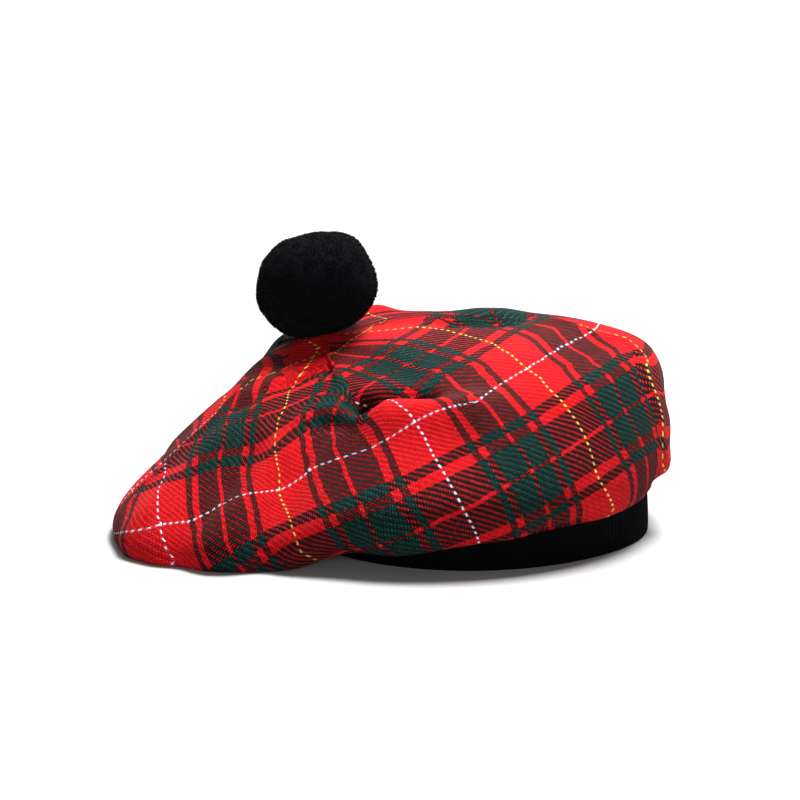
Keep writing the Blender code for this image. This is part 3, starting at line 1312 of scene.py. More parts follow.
@dataclass(frozen=True)
class Ties:
    """Pairs of points whose back one lies a known distance past the front one, with a row for each."""

    axis: np.ndarray
    front: np.ndarray
    back: np.ndarray
    apart: np.ndarray

    def read(self, cloth: np.ndarray) -> np.ndarray:
        """Give how far the cloth has each front point past its back point."""
        return cloth[self.front, self.axis] - cloth[self.back, self.axis]

    def add(self, total: np.ndarray, force: np.ndarray) -> None:
        """Add each pair's force to its front point, and take it from its back point.

        Args:
            total: The forces on all points, which these are added to.
            force: The force between each pair.
        """
        np.add.at(total, (self.front, self.axis), force)
        np.add.at(total, (self.back, self.axis), -force)


@dataclass
class FlatCloth:
    """The crown's cloth laid flat: for each point of the crown, its place on the loom, in threads.

    Each triangle of the crown keeps its shape as nearly as can be, while the tartan's lines are drawn
    to where they are seen. The point of the crown is split by the cuts into three, whose threads are
    hub_threads: the back cloth's, and the front cloth's left and right of the dart. A first guess has
    hub_down there, counts threads across at loom_step, from front_turn on, and reaches its full width
    at full_width_step. A seen line pulls by line_pull, and less where the cloth is seen at a slant.
    """

    form: CrownForm
    view: Viewpoint
    lines: tuple[TartanLine, ...]
    cuts: tuple[Cut, ...] = (Cut(-6.0, 9.0), Cut(190.0, 9.0), Cut(259.0, 2.38))
    columns: int = 156
    span_rings: tuple[int, ...] = (10, 13, 12, 10, 5, 3)
    stiffness: tuple[float, float] = (0.05, 6.0)
    least_area: float = 1e-6
    line_pull: float = 20.0
    full_pull_facing: float = 0.5
    facing_power: float = 1.3
    sewn_pull: float = 3.0
    rounds: int = 60
    solver_steps: int = 40
    back_edge_thread: float = 238.0
    hub_threads: Places = ((280.0, 118.0), (-72.0, 122.0), (15.0, 118.0))
    hub_down: float = 118.0
    pinned_hub: int = 2
    hub_pull: float = 8.0
    front_turn: float = 286.0
    loom_step: float = 3.6
    full_width_step: float = 2.6
    seam_seen_from: float = 1.42
    straight_from: float = 0.3
    pattern_across: float = 160.0
    index: dict[tuple[int, int, int], int] = field(default_factory=dict)
    grid: ClothGrid = field(init=False)
    cut_columns: list[tuple[int, int]] = field(init=False)
    triangles: np.ndarray = field(init=False)
    places: np.ndarray = field(init=False)
    flat: np.ndarray = field(init=False)
    weights: list[np.ndarray] = field(init=False)
    where: np.ndarray = field(init=False)

    def corner(self, ring: int, column: int, quad: int) -> int:
        """Number the point of a ring and column as the quads of one column see it.

        Args:
            ring: The point's ring.
            column: Its column, up to and including the number of columns.
            quad: The column of the quad that asks.

        Returns:
            The point's number: another one on each side of a cut.
        """
        own = column % self.columns
        if ring == 0:
            key = (0, -1, sum(1 for cut, _ in self.cut_columns if cut <= quad))
        else:
            split = ring < dict(self.cut_columns).get(own, -1)
            key = (ring, own, int(split and quad % self.columns == own))
        return self.index.setdefault(key, len(self.index))

    def prepare(self) -> None:
        """Sample the crown, number its points and split it into triangles."""
        self.grid = self.form.grid(self.columns, self.span_rings)
        turns, steps = self.grid.turns, self.grid.steps
        self.cut_columns = []
        for cut in self.cuts:
            nearest = int(np.argmin(np.abs(degrees_between(turns, cut.turn))))
            self.cut_columns.append((nearest, int(np.searchsorted(steps, cut.last_step))))
        triangles, places = [], {}
        for q in range(self.columns):
            for i in range(len(steps) - 1):
                corners = [(i, q), (i + 1, q), (i + 1, q + 1), (i, q + 1)]
                a, b, c, d = numbers = [self.corner(ring, column, q) for ring, column in corners]
                for number, (ring, column) in zip(numbers, corners):
                    places[number] = self.grid.points[ring, column % self.columns]
                if i == 0:
                    triangles.append((a, b, c))
                elif (i + q) % 2:
                    triangles += [(a, b, c), (a, c, d)]
                else:
                    triangles += [(a, b, d), (b, c, d)]
        self.triangles = np.array(triangles)
        self.places = np.array([places[k] for k in range(len(places))])
        self.measure()

    def measure(self) -> None:
        """Lay each triangle flat by itself, and work out how stiff its edges are."""
        first, second, third = (self.places[self.triangles[:, k]] for k in range(3))
        along = unit(second - first)
        other = np.cross(unit(np.cross(second - first, third - first)), along)
        zero = np.zeros(len(first))
        flat = [
            np.column_stack((zero, zero)),
            np.column_stack((((second - first) * along).sum(1), zero)),
            np.column_stack((((third - first) * along).sum(1), ((third - first) * other).sum(1))),
        ]
        self.flat = np.stack(flat, axis=1)
        self.weights = []
        for k in range(3):
            a, b, c = self.flat[:, k], self.flat[:, (k + 1) % 3], self.flat[:, (k + 2) % 3]
            to_a, to_b = a - c, b - c
            area = np.abs(to_a[:, 0] * to_b[:, 1] - to_a[:, 1] * to_b[:, 0])
            stiff = (to_a * to_b).sum(1) / np.maximum(area, self.least_area)
            self.weights.append(np.clip(stiff, *self.stiffness))

    def start_flat(self) -> np.ndarray:
        """Guess the loom places: down by distance from the apex, across by distance round the crown.

        Returns:
            Millimetres across and down for each numbered point.
        """
        points, turns, steps = self.grid.points, self.grid.turns, self.grid.steps
        down = np.zeros(points.shape[:2])
        down[1:] = np.cumsum(np.linalg.norm(np.diff(points, axis=0), axis=2), axis=0) / THREAD_MM[1]
        ring = int(np.argmin(np.abs(steps - self.loom_step)))
        loop = np.linalg.norm(np.diff(np.vstack((points[ring], points[ring, :1])), axis=0), axis=1)
        around = np.concatenate(([0.0], np.cumsum(loop))) / THREAD_MM[0]
        front = int(np.argmin(np.abs(degrees_between(turns, self.front_turn))))
        _, (back, _), (dart, _) = self.cut_columns
        guess = np.zeros((len(self.index), 2))
        for (ring, column, side), number in self.index.items():
            if ring == 0:
                guess[number] = self.hub_threads[side - 1]
                continue
            if column == 0 and not side:
                column = self.columns
            in_back = column < back or (column == back and not side)
            if in_back:
                across, hub = self.back_edge_thread + around[column], 0
            else:
                across = around[column] - around[front]
                hub = 1 if column < dart or (column == dart and not side) else 2
            hub_across = self.hub_threads[hub][0]
            width = min(1.0, steps[ring] / self.full_width_step)
            thread_down = self.hub_down - down[ring, column % self.columns]
            guess[number] = hub_across + (across - hub_across) * width, thread_down
        return guess * THREAD_MM

    def pins(self) -> Pins:
        """Find where the tartan's lines are seen on the crown.

        Returns:
            A pin for each pixel that meets the crown, and two that hold the pinned hub.
        """
        corners = [tuple(map(int, triangle)) for triangle in self.triangles]
        tree = BVHTree.FromPolygons([Vector(place) for place in self.places], corners)
        eye = Vector(self.view.eye())
        rows = []
        for line in self.lines:
            missed = 0
            for pixel in line.seen_at:
                ray = self.view.ray(*pixel)
                where, _, face, _ = tree.ray_cast(eye, Vector(ray))
                if where is None:
                    missed += 1
                    continue
                numbers = self.triangles[face]
                a, b, c = (self.places[n] for n in numbers)
                basis = np.column_stack((b - a, c - a))
                share = np.linalg.lstsq(basis, np.array(where) - a, rcond=None)[0]
                facing = abs(float(unit(np.cross(b - a, c - a)) @ ray))
                pull = self.line_pull * min(1.0, facing / self.full_pull_facing) ** self.facing_power
                axis = line.runs.value
                shares = (1 - share.sum(), share[0], share[1])
                rows.append((axis, tuple(numbers), shares, line.thread * THREAD_MM[axis], pull))
            if missed:
                LOG.warning("line %s: %d of its pixels miss the crown", line.name, missed)
        hub = self.index[(0, -1, self.pinned_hub)]
        for axis, thread in enumerate(self.hub_threads[self.pinned_hub - 1]):
            rows.append((axis, (hub, hub, hub), (1.0, 0.0, 0.0), thread * THREAD_MM[axis], self.hub_pull))
        return Pins(*(np.array(column) for column in zip(*rows)))

    def sewn(self) -> Ties:
        """List what holds along the side seam.

        The bands across always meet. Above the seam's visible end the bands down meet too, a whole
        pattern on.

        Returns:
            The ties between the front cloth and the back cloth.
        """
        rows = []
        for (ring, column, side), number in self.index.items():
            front = self.index.get((ring, 0, 0))
            if column == 0 and side and ring > 0 and front is not None:
                rows.append((1, front, number, 0.0))
                if self.grid.steps[ring] < self.seam_seen_from:
                    rows.append((0, front, number, self.pattern_across * THREAD_MM[0]))
        return Ties(*(np.array(column) for column in zip(*rows)))

    def straight_edge(self) -> np.ndarray:
        """List the back cloth's points along the side seam, where its edge follows a thread.

        Returns:
            Their numbers.
        """
        begins = self.seam_seen_from + self.straight_from
        return np.array([
            number
            for (ring, column, side), number in self.index.items()
            if column == 0 and side and ring > 0 and self.grid.steps[ring] > begins
        ])

    def add_edges(self, total: np.ndarray, k: int, force: np.ndarray) -> None:
        """Add each triangle's force along one edge to its first point, and take it from its second.

        Args:
            total: The forces on all points, which these are added to.
            k: Which edge of the triangles.
            force: The force along it, for each triangle.
        """
        start, end = self.triangles[:, k], self.triangles[:, (k + 1) % 3]
        for axis in (0, 1):
            pushed = np.bincount(start, force[:, axis], len(total))
            total[:, axis] += pushed - np.bincount(end, force[:, axis], len(total))

    def spun(self, cloth: np.ndarray) -> np.ndarray:
        """Find the rotation that lays each flat triangle best onto the cloth.

        Args:
            cloth: The place of each numbered point.

        Returns:
            A two by two matrix for each triangle.
        """
        now = cloth[self.triangles]
        moment = np.zeros((len(now), 2, 2))
        for k in range(3):
            after = (k + 1) % 3
            edges = (now[:, k] - now[:, after], self.flat[:, k] - self.flat[:, after])
            moment += self.weights[k][:, None, None] * np.einsum("ti,tj->tij", *edges)
        angle = np.arctan2(moment[:, 1, 0] - moment[:, 0, 1], moment[:, 0, 0] + moment[:, 1, 1])
        cosine, sine = np.cos(angle), np.sin(angle)
        return np.stack((np.stack((cosine, -sine), 1), np.stack((sine, cosine), 1)), 1)

    def solve(self) -> None:
        """Lay the cloth flat, and keep the threads across and down of each numbered point."""
        self.prepare()
        count = len(self.index)
        cloth = self.start_flat()
        pins, sewn, edge = self.pins(), self.sewn(), self.straight_edge()
        diagonal = np.zeros((count, 2))
        for k in range(3):
            for ends in (self.triangles[:, k], self.triangles[:, (k + 1) % 3]):
                diagonal += np.bincount(ends, self.weights[k], count)[:, None]

        def applied(x: np.ndarray) -> np.ndarray:
            """Apply the system's matrix to a guess.

            Args:
                x: The guess.

            Returns:
                The forces that it brings.
            """
            y = np.zeros_like(x)
            for k in range(3):
                pull = x[self.triangles[:, k]] - x[self.triangles[:, (k + 1) % 3]]
                self.add_edges(y, k, self.weights[k][:, None] * pull)
            pins.add(y, pins.read(x) * pins.pull)
            sewn.add(y, self.sewn_pull * sewn.read(x))
            y[:, 0] += np.bincount(edge, self.sewn_pull * x[edge, 0], count)
            return y

        for _ in range(self.rounds):
            spin = self.spun(cloth)
            right = np.zeros((count, 2))
            for k in range(3):
                flat = self.flat[:, k] - self.flat[:, (k + 1) % 3]
                self.add_edges(right, k, np.einsum("tij,tj->ti", spin, flat) * self.weights[k][:, None])
            pins.add(right, pins.place * pins.pull)
            sewn.add(right, -self.sewn_pull * sewn.apart)
            np.add.at(right, (edge, 0), self.sewn_pull * self.back_edge_thread * THREAD_MM[0])
            cloth = self.conjugate(applied, right, cloth, diagonal)
        missed = np.abs(pins.read(cloth) - pins.place)
        LOG.info("tartan lines miss by %.2f mm on average, %.2f at most", missed.mean(), missed.max())
        self.where = cloth / THREAD_MM

    def conjugate(
        self,
        applied: Callable[[np.ndarray], np.ndarray],
        right: np.ndarray,
        start: np.ndarray,
        diagonal: np.ndarray,
    ) -> np.ndarray:
        """Solve a linear system by conjugate gradients.

        Args:
            applied: The matrix as a function.
            right: The right-hand side.
            start: A first guess.
            diagonal: The matrix's diagonal, to scale by.

        Returns:
            The solution, as far as the steps bring it.
        """
        least, solved = 1e-12, 1e-9
        x = start.copy()
        rest = right - applied(x)
        scaled = rest / diagonal
        way = scaled.copy()
        worth = (rest * scaled).sum()
        for _ in range(self.solver_steps):
            moved = applied(way)
            size = worth / max((way * moved).sum(), least)
            x += size * way
            rest -= size * moved
            scaled = rest / diagonal
            new = (rest * scaled).sum()
            if new < solved:
                break
            way = scaled + new / worth * way
            worth = new
        return x

    def read(self, ring_at: np.ndarray, column_at: np.ndarray, quad: np.ndarray) -> np.ndarray:
        """Read the threads at places on the coarse grid.

        Args:
            ring_at: Ring coordinates, with fractions.
            column_at: Column coordinates, with fractions, each within its quad.
            quad: The quad column that each place belongs to.

        Returns:
            Threads across and down for each place.
        """
        rings = len(self.grid.steps)
        table = np.zeros((rings, self.columns, 2, 2))
        for q in range(self.columns):
            for i in range(rings):
                for side in (0, 1):
                    table[i, q, side] = self.where[self.corner(i, q + side, q)]
        low = np.clip(np.floor(ring_at).astype(int), 0, rings - 2)
        down = (ring_at - low)[:, None]
        side = np.clip(column_at - quad, 0, 1)[:, None]
        cell = table[low, quad] * (1 - down[:, :, None]) + table[low + 1, quad] * down[:, :, None]
        return cell[:, 0] * (1 - side) + cell[:, 1] * side


# ---------------------------------------------------------------- crown


SEEN_LINES = (
    TartanLine("white_along", Along.ACROSS, 0, (
        (142, 530), (155, 526), (178, 523), (192, 522), (202, 515), (218, 504), (230, 500), (243, 495),
        (260, 493), (279, 491), (294, 482), (306, 470), (318, 465), (336, 459), (351, 454), (364, 450),
        (380, 442), (395, 434), (415, 422), (429, 415), (442, 410), (454, 407), (463, 405.5), (474, 404.5),
        (480, 401), (486, 396), (491, 391), (502, 383), (513, 377), (528, 369), (543, 360), (556, 352),
        (572, 344), (584, 337))),
    TartanLine("yellow_along_right", Along.ACROSS, 112, (
        (336, 353), (345, 345), (357, 338), (372, 326), (382, 322), (392, 318), (404, 315))),
    TartanLine("yellow_along_left", Along.ACROSS, 112, (
        (323.6, 352.5), (318, 354.6), (313.5, 357.5), (308, 359.5), (301, 362), (295, 364), (289, 367),
        (284, 369), (279, 371.5), (272, 373.5), (267, 376.7), (262, 380), (255.5, 383.3), (249, 386),
        (244.5, 388.3), (240, 390.5))),
    TartanLine("green_above_yellow", Along.ACROSS, 140.75, (
        (265, 354.5), (272, 351), (280, 348.5), (288, 347))),
    TartanLine("green_below", Along.ACROSS, -29.5, (
        (273, 530), (284, 525.7), (299, 518.6), (313, 513), (324, 511.4), (336, 507), (350, 501.4),
        (370, 493), (390, 485.7), (407, 478.6), (424, 470), (438.6, 461.4), (456, 451.4), (473, 445),
        (493, 435), (515, 425), (534, 416), (558, 399.5), (580, 382.5), (597, 373), (617, 359),
        (633, 353.5))),
    TartanLine("red_below", Along.ACROSS, -35, (
        (273, 541.4), (284, 537), (299, 531.4), (313, 527), (324, 523.6), (334, 520.7), (350, 514.3),
        (363, 510), (379, 504.3), (396, 495.7), (413, 488.6), (427, 481.4), (441, 474.3), (456, 465.7),
        (471, 459), (485, 450), (513, 435), (533, 425), (553, 411.5), (567, 403), (583, 393), (593, 388),
        (612, 376.7), (633, 361.7))),
    TartanLine("fine_red_below", Along.ACROSS, -56, (
        (367, 550), (381, 545), (391, 540), (404, 535.7), (419, 529.3), (430, 525), (441, 518.6),
        (456, 512.9), (470, 505.7), (477, 503.3), (488, 495), (503, 487.5), (523, 475), (542, 464),
        (558, 455.8), (570, 448.3), (585, 438.3), (597, 430), (612, 420), (623, 411.7), (633, 405),
        (647, 396.7))),
    TartanLine("lower_red_below", Along.ACROSS, -77, (
        (550, 508), (568, 491.7), (583, 481.7), (603, 466.7), (625, 451.7), (640, 440), (655, 430),
        (661, 425))),
    TartanLine("lower_green_below", Along.ACROSS, -82.5, (
        (565, 505), (578, 496.7), (593, 486.7), (608, 476.7), (620, 466.7), (635, 455), (650, 446.7))),
    TartanLine("green_above_left", Along.ACROSS, 29.5, (
        (154, 484.3), (174, 478.6), (189, 474.3), (204, 468.6), (219, 462.9), (234, 458.6), (249, 461.4),
        (265, 458.6), (276, 451.4), (283, 444.3), (291, 437), (299, 430), (313, 421.4), (327, 418.6),
        (341, 417))),
    TartanLine("red_above_left", Along.ACROSS, 35, (
        (166, 471.4), (185, 465.7), (196, 461.4), (208, 457), (224, 454.3), (239, 452.9), (256, 450),
        (269, 445.7), (277, 437), (284, 428.6), (296, 420), (307, 415.7), (320, 413.6), (334, 412))),
    TartanLine("green_above_right", Along.ACROSS, 29.5, ((438, 375), (450, 366.7), (473, 359))),
    TartanLine("red_above_right", Along.ACROSS, 35, (
        (412, 393), (423, 381.7), (437, 371.7), (458, 360), (477, 348), (488, 344))),
    TartanLine("fine_red_above_right", Along.ACROSS, 56, (
        (370, 385), (378, 378.3), (387, 373.3), (403, 366.7), (417, 361.7), (433, 351.7), (448, 343.3),
        (463, 334.2), (480, 327.5))),
    TartanLine("upper_red_above_right", Along.ACROSS, 77, (
        (347, 373.3), (360, 366.7), (378, 358.3), (398, 343.3), (407, 340), (423, 331.7), (440, 324))),
    TartanLine("under_roll", Along.ACROSS, 26.25, (
        (310, 429), (318, 427), (330, 421), (345, 421.5), (358, 426))),
    TartanLine("over_roll", Along.ACROSS, 32.25, (
        (312, 417.5), (322, 415), (335, 414.5), (350, 417), (362, 422))),
    TartanLine("red_edge_above_left", Along.ACROSS, 86.75, (
        (331, 366), (322.5, 366), (313, 369.5), (306, 375), (300, 381), (292, 385), (282, 387.5),
        (270, 391), (260, 395))),
    TartanLine("fine_red_above_left", Along.ACROSS, 56, (
        (346, 401.5), (340, 397.5), (331, 393), (322.5, 392.5), (315, 394), (307, 397.5), (301, 400),
        (294, 403.5), (286, 407), (278, 411), (267.5, 411.5), (257.5, 412), (240, 417.5), (226, 423))),
    TartanLine("green_left_of_yellow", Along.DOWN, -100.75, (
        (252.5, 442), (253, 430), (253, 420), (255, 411), (259.4, 397.5), (268, 388), (283.8, 377.5),
        (285, 367), (289.5, 354))),
    TartanLine("green_right_of_yellow", Along.DOWN, -59.25, (
        (301, 435), (301.5, 425), (303, 414), (308, 404), (312, 396), (315, 385), (319, 376))),
    TartanLine("green_right_of_white", Along.DOWN, 20.75, (
        (383, 381), (391, 387), (400, 393.5), (448, 408.5), (454, 416), (461, 428), (468.6, 441))),
    TartanLine("red_right_of_white", Along.DOWN, 24.75, (
        (358, 366), (381.4, 376.4), (411.4, 394.3), (463, 418.6), (476, 436))),
    TartanLine("fine_red_above_right_down", Along.DOWN, 40, ((380, 358.6), (404, 366), (437, 370))),
    TartanLine("red_above_right_down", Along.DOWN, 55.25, ((402.9, 342), (460, 359))),
    TartanLine("white_in_crease", Along.DOWN, 0, ((360, 404.5), (366, 403.5))),
    TartanLine("white_down_right", Along.DOWN, 0, (
        (399, 406), (409, 414), (415, 422), (424, 435), (430, 448), (437, 460), (444, 472), (450, 484),
        (457, 496), (463, 509), (470, 521), (476, 533), (479, 543))),
    TartanLine("white_down_left", Along.DOWN, -160, (
        (164, 467), (160, 484), (158, 498.6), (158, 510), (162, 523), (163.6, 535.7), (168, 545.7),
        (173.6, 557), (178, 562))),
    TartanLine("yellow_down_right", Along.DOWN, 80, (
        (418, 321), (431, 324), (448, 330), (463, 334), (479, 339), (491, 343), (502, 350), (514, 357),
        (528, 369), (542, 380), (552, 391), (561, 400), (569, 409), (578, 420), (583, 432), (590, 449),
        (595, 471), (601, 483), (608, 494), (612, 503), (614.5, 510))),
    TartanLine("yellow_down_left", Along.DOWN, -80, (
        (320, 347.6), (316.6, 352.5), (313.5, 358), (308, 366), (302.6, 371.7), (298.8, 375.6),
        (295.6, 380), (289.6, 387.8), (288, 392.7), (286.8, 404), (280.6, 415), (276.7, 420.4), (275, 437),
        (277, 457), (280, 472), (279, 491), (280, 499), (287, 512), (291, 524), (296, 537), (300, 552))),
    TartanLine("red_left_of_white", Along.DOWN, -25, (
        (369, 431.4), (375.5, 444), (383, 460), (388, 474.3), (397, 495.7), (410, 518.6), (419, 529.3))),
    TartanLine("fine_red_left", Along.DOWN, -40, (
        (331, 421.4), (331.4, 433), (334, 447), (343, 461.4), (347, 474.3), (352, 487), (356, 494.3),
        (363, 510), (368.6, 521.4), (374, 533), (378.6, 544.3))),
    TartanLine("red_right_of_yellow", Along.DOWN, -55, (
        (306, 433), (307, 450), (311, 467), (316, 478.6), (321, 493), (327, 501.4), (334, 520.7),
        (341, 531.4), (347, 544.3))),
    TartanLine("red_left_of_yellow", Along.DOWN, -105, (
        (266.5, 363), (262, 375), (256.4, 388), (254.3, 395), (250.8, 408), (248, 422), (246.6, 438.6),
        (242, 470), (245, 484), (248, 498.6), (251, 513), (253.6, 528.6), (255, 545.7))),
    TartanLine("fine_red_far_left", Along.DOWN, -120, (
        (228, 417), (225, 426), (224, 441), (218, 468.6), (218.6, 481.4), (221, 498.6), (222, 515.7),
        (224, 531.4), (225, 541.4))),
    TartanLine("red_far_left", Along.DOWN, -135, (
        (200, 438), (197, 450), (196.5, 462), (196, 475.7), (196, 491.4), (196.4, 507), (198, 521.4),
        (199, 537), (202, 548.6), (208, 563))),
    TartanLine("yellow_across_strip", Along.DOWN, 400, ((231, 391), (232, 394))),
    TartanLine("green_on_strip", Along.DOWN, 421, ((204, 415), (202, 419))),
    TartanLine("red_on_strip", Along.ACROSS, 214, (
        (231, 391), (222, 399), (204, 415), (197, 424), (185, 437))),
    TartanLine("green_at_tip", Along.DOWN, -181, ((129, 503), (131.4, 517))),
    TartanLine("fine_red_right", Along.DOWN, 40, (
        (447, 376.7), (457, 388), (467, 400), (490, 410), (495, 416.7), (501, 425), (510, 438.3),
        (518, 446.7), (523, 453.3), (527.5, 462.5), (535, 480), (538, 490))),
    TartanLine("red_left_of_right_yellow", Along.DOWN, 55, (
        (473, 363.3), (480, 366.7), (491, 378), (503, 392), (513, 403), (523, 415))),
    TartanLine("red_right_of_right_yellow", Along.DOWN, 105, (
        (542, 341.7), (557, 355), (570, 370), (578, 378.3), (587, 390), (600, 406.7), (608, 420),
        (615, 433.3), (618, 443.3), (623, 451.7))),
    TartanLine("fine_red_far_right", Along.DOWN, 120, (
        (548, 325), (560, 335), (573, 348.3), (590, 361), (602, 366.7), (608, 375), (617, 386.7),
        (621, 396.7), (624, 406.7), (630, 416.7), (637, 431.7))),
)


@dataclass
class Crown:
    """The bag of tartan cloth, sewn to the headband. clear_mm is how far it keeps from the floor."""

    form: CrownForm
    flat: FlatCloth
    finish: TartanTwill
    fineness: int = 2
    wall_mm: float = 1.6
    clear_mm: float = 0.15

    def skins(self, grid: ClothGrid) -> list[np.ndarray]:
        """Make the cloth's outside and inside.

        Args:
            grid: The crown's outside.

        Returns:
            The points of both: ring, column, xyz.
        """
        inside = grid.points - grid.normals() * self.wall_mm
        inside[-1, :, :2] = grid.points[-1, :, :2]
        inside[-2:, :, 2] = self.form.band.height_mm + self.form.gap_mm + self.wall_mm
        outside = grid.points
        for skin, floor in ((outside, self.clear_mm), (inside, self.clear_mm + self.wall_mm / 2)):
            skin[:, :, 2] = np.maximum(skin[:, :, 2], floor)
        return [outside, inside]

    def build(self, origin_mm: np.ndarray) -> bpy.types.Object:
        """Make the crown.

        Args:
            origin_mm: The frame's zero in the hat's layout.

        Returns:
            The piece.
        """
        self.flat.solve()
        columns = self.flat.columns * self.fineness
        grid = self.form.grid(columns, [count * self.fineness for count in self.flat.span_rings])
        skins = self.skins(grid)
        points = np.vstack([np.vstack((skin[0, :1], skin[1:].reshape(-1, 3))) for skin in skins])
        inner = len(points) // 2
        faces, looks = [], []

        def number(ring: int, column: int, base: int) -> int:
            """Number a point of one skin."""
            return base + (0 if ring == 0 else 1 + (ring - 1) * columns + column % columns)

        last = len(grid.steps) - 1
        for j in range(columns):
            for i in range(last):
                corners = [(i, j), (i + 1, j), (i + 1, j + 1), (i, j + 1)]
                if i == 0:
                    corners = corners[:3]
                for base, order in ((0, corners), (inner, corners[::-1])):
                    faces.append([number(*corner, base) for corner in order])
                    looks.append(order)
            hem = [(last, j), (last, j), (last, j + 1), (last, j + 1)]
            faces.append([number(*corner, base) for corner, base in zip(hem, (0, inner, inner, 0))])
            looks.append(hem)
        crown = mesh_object("tartan_crown", points, faces, origin_mm)
        self.lay_threads(crown, looks, grid)
        crown.data.materials.append(self.finish.build())
        return crown

    def lay_threads(
        self, crown: bpy.types.Object, looks: list[list[tuple[int, int]]], grid: ClothGrid
    ) -> None:
        """Give the crown's faces their places on the loom.

        Args:
            crown: The piece.
            looks: Ring and column of each face's corners.
            grid: The grid that the faces were made from.
        """
        coarse = self.flat.grid.steps
        ring_of = np.interp(grid.steps, coarse, np.arange(len(coarse)))
        rings, columns, quads = [], [], []
        for corners in looks:
            quad = min(column for _, column in corners) // self.fineness
            for ring, column in corners:
                rings.append(ring_of[ring])
                columns.append(column / self.fineness)
                quads.append(quad)
        threads = self.flat.read(np.array(rings), np.array(columns), np.array(quads))
        layer = crown.data.uv_layers.new(name=self.finish.map_name)
        layer.data.foreach_set("uv", threads.astype(np.float32).ravel())


# ---------------------------------------------------------------- pompom


@dataclass(frozen=True)
class Lobe:
    """How far the pompom reaches in one direction, in degrees up from the right as seen from the front."""

    direction: float
    reach_mm: float


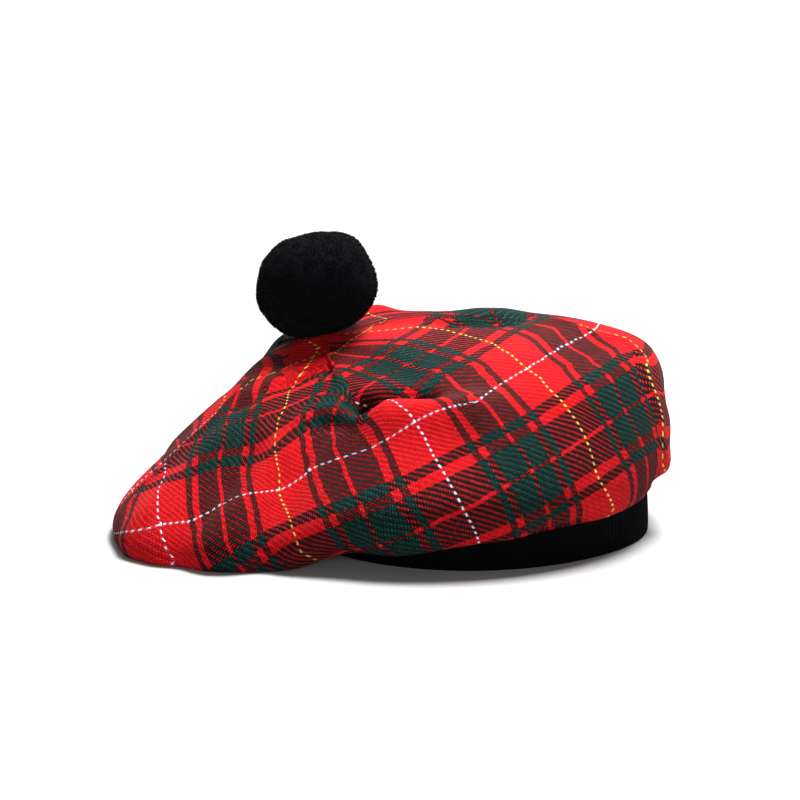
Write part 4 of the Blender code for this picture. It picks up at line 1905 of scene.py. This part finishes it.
@dataclass(frozen=True)
class Pompom:
    """A dense ball of cut black wool: a soft core and many short locks, all trimmed to one outline.

    The core lies core_inset_mm inside the outline, with clumps raised by clump_mm and clump_reach
    radians wide. A lock's place, its lean and its tip are off by place_jitter, lean_jitter and
    trim_mm. lock_rings are the rings of a lock, each its share of the length back from the tip and its
    share of the width. Points below crown_reach_mm are lifted clear of the crown by lift_mm.
    """

    centre_mm: tuple[float, float, float] = (-39.0, 23.0, 122.8)
    depth_mm: float = 29.5
    lobes: tuple[Lobe, ...] = (
        Lobe(-22, 31.6), Lobe(-6, 32.8), Lobe(14, 32.0), Lobe(28, 31.5), Lobe(45, 32.1), Lobe(54, 31.6),
        Lobe(64, 30.2), Lobe(76, 28.2), Lobe(90, 27.3), Lobe(102, 26.8), Lobe(114, 26.9), Lobe(130, 28.7),
        Lobe(149, 29.7), Lobe(158, 30.6), Lobe(168, 30.6), Lobe(180, 31.2), Lobe(198, 32.6), Lobe(216, 32.0),
        Lobe(229, 31.7), Lobe(240, 31.0), Lobe(262, 28.0), Lobe(290, 27.0),
    )
    ball_fineness: int = 6
    core_inset_mm: float = 0.9
    clumps: int = 420
    clump_reach: float = 0.14
    clump_mm: float = 0.55
    locks: int = 13000
    lock_mm: float = 3.2
    lock_width_mm: float = 0.42
    lock_rings: Places = ((1.0, 1.0), (0.3, 0.8), (0.0, 0.25))
    lock_sides: int = 3
    place_jitter: float = 0.012
    lean_jitter: float = 0.22
    trim_mm: float = 0.22
    crown_reach_mm: float = 116.0
    above_all_mm: float = 200.0
    lift_mm: float = 0.5
    seed: int = 5
    finish: BlackWool = BlackWool("black_pompom_wool", (0.0038, 0.0038, 0.0046), 1500.0, sheen=0.025)

    def reach(self, rays: np.ndarray) -> np.ndarray:
        """Measure the trimmed outline.

        Args:
            rays: Directions from the centre.

        Returns:
            Its distance from the centre in each direction.
        """
        directions = np.degrees(np.arctan2(rays[:, 2], rays[:, 0]))
        turns = [lobe.direction for lobe in self.lobes]
        outline = smooth_cycle(turns, [[lobe.reach_mm] for lobe in self.lobes], directions)
        flat = np.hypot(rays[:, 0], rays[:, 2]) / outline[:, 0]
        return 1 / np.hypot(flat, rays[:, 1] / self.depth_mm)

    def core(self, random: np.random.Generator) -> tuple[np.ndarray, list[tuple[int, ...]]]:
        """Make the core, with its soft clumps.

        Args:
            random: Where chance comes from.

        Returns:
            Its points, from the pompom's centre, and its faces.
        """
        shape = bmesh.new()
        bmesh.ops.create_icosphere(shape, subdivisions=self.ball_fineness, radius=1.0)
        shape.verts.ensure_lookup_table()
        rays = np.array([vertex.co for vertex in shape.verts])
        faces = [tuple(vertex.index for vertex in face.verts) for face in shape.faces]
        shape.free()
        clumps = unit(random.normal(size=(self.clumps, 3)))
        away = np.arccos(np.clip((rays @ clumps.T).max(axis=1), -1, 1))
        rough = np.cos(np.minimum(away / self.clump_reach, 1) * math.pi / 2)
        raised = self.clump_mm * (rough - 0.5)
        return rays * (self.reach(rays) - self.core_inset_mm + raised)[:, None], faces

    def lock(self, number: int, random: np.random.Generator) -> np.ndarray:
        """Make one of the locks, which stand evenly spread over the ball.

        Args:
            number: The lock's number.
            random: Where chance comes from.

        Returns:
            Its points, ring by ring from its root.
        """
        golden = math.pi * (3 - math.sqrt(5)) * number
        up = 1 - 2 * (number + 0.5) / self.locks
        level = math.sqrt(1 - up * up)
        ray = np.array((math.cos(golden) * level, math.sin(golden) * level, up))
        ray = unit(ray + random.normal(scale=self.place_jitter, size=3))
        lean = unit(ray + random.normal(scale=self.lean_jitter, size=3))
        tip = ray * (self.reach(ray[None])[0] + random.normal(scale=self.trim_mm))
        side = unit(np.cross(lean, random.normal(size=3)))
        other = np.cross(lean, side)
        points = []
        for share, width in self.lock_rings:
            for spoke in range(self.lock_sides):
                angle = 2 * math.pi * spoke / self.lock_sides
                around = side * math.cos(angle) + other * math.sin(angle)
                points.append(tip - lean * self.lock_mm * share + around * self.lock_width_mm * width)
        return np.array(points)

    def lock_faces(self, base: int) -> list[tuple[int, ...]]:
        """List the faces of one lock.

        Args:
            base: The number of its first point.

        Returns:
            Its sides and its tip.
        """
        sides = self.lock_sides
        faces = []
        for ring in range(len(self.lock_rings) - 1):
            low = base + ring * sides
            for spoke in range(sides):
                after = (spoke + 1) % sides
                faces.append((low + spoke, low + after, low + sides + after, low + sides + spoke))
        tip = base + (len(self.lock_rings) - 1) * sides
        return [*faces, tuple(range(tip, tip + sides))]

    def build(self, crown_top: BVHTree, origin_mm: np.ndarray) -> bpy.types.Object:
        """Make the pompom.

        Args:
            crown_top: The crown in millimetres, which the pompom's underside stays clear of.
            origin_mm: The frame's zero in the hat's layout.

        Returns:
            The piece.
        """
        random = np.random.default_rng(self.seed)
        core, faces = self.core(random)
        points = [core, *(self.lock(number, random) for number in range(self.locks))]
        for number in range(self.locks):
            faces += self.lock_faces(len(core) + number * self.lock_sides * len(self.lock_rings))
        placed = self.lifted(np.vstack(points) + np.array(self.centre_mm), crown_top)
        pompom = mesh_object("wool_pompom", placed, faces, origin_mm)
        pompom.data.materials.append(self.finish.build())
        return pompom

    def lifted(self, points: np.ndarray, crown_top: BVHTree) -> np.ndarray:
        """Lift the points that would sink into the crown to just above it.

        Args:
            points: The pompom's points.
            crown_top: The crown in millimetres.

        Returns:
            The points, clear of the crown.
        """
        clear = points.copy()
        for k, (x, y, z) in enumerate(points):
            if z > self.crown_reach_mm:
                continue
            where, _, _, _ = crown_top.ray_cast(Vector((x, y, self.above_all_mm)), Vector((0, 0, -1)))
            if where is not None:
                clear[k, 2] = max(z, where[2] + self.lift_mm)
        return clear


# ---------------------------------------------------------------- all together


def main() -> None:
    """Dress the frame."""
    logging.basicConfig(level=logging.INFO, format="%(name)s: %(message)s")
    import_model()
    outline = BandOutline()
    low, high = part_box("headband")
    left = outline.centre_mm[0] - outline.radius_mm
    back = outline.centre_mm[1] + outline.radius_mm
    origin_mm = np.array((left - low[0] / MM, back - high[1] / MM, 0.0))
    LOG.info("frame's zero is %s mm from the layout's", origin_mm.round(3))
    view = Viewpoint()
    view.place_camera(origin_mm)
    Studio().build()

    band = KnitBand(outline).build(origin_mm)
    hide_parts("headband")
    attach(band, ROOT)

    form = CrownForm(outline)
    crown = Crown(form, FlatCloth(form, view, SEEN_LINES), TartanTwill()).build(origin_mm)
    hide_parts("crown")
    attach(crown, ROOT)

    mesh = crown.data
    corners = [Vector(np.array(vertex.co) / MM + origin_mm) for vertex in mesh.vertices]
    crown_top = BVHTree.FromPolygons(corners, [tuple(face.vertices) for face in mesh.polygons])
    pompom = Pompom().build(crown_top, origin_mm)
    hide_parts("pompom")
    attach(pompom, ROOT)
    for piece in (band, crown, pompom):
        piece.data.calc_loop_triangles()
        LOG.info("%s: %d triangles", piece.name, len(piece.data.loop_triangles))


if __name__ == "__main__":
    main()
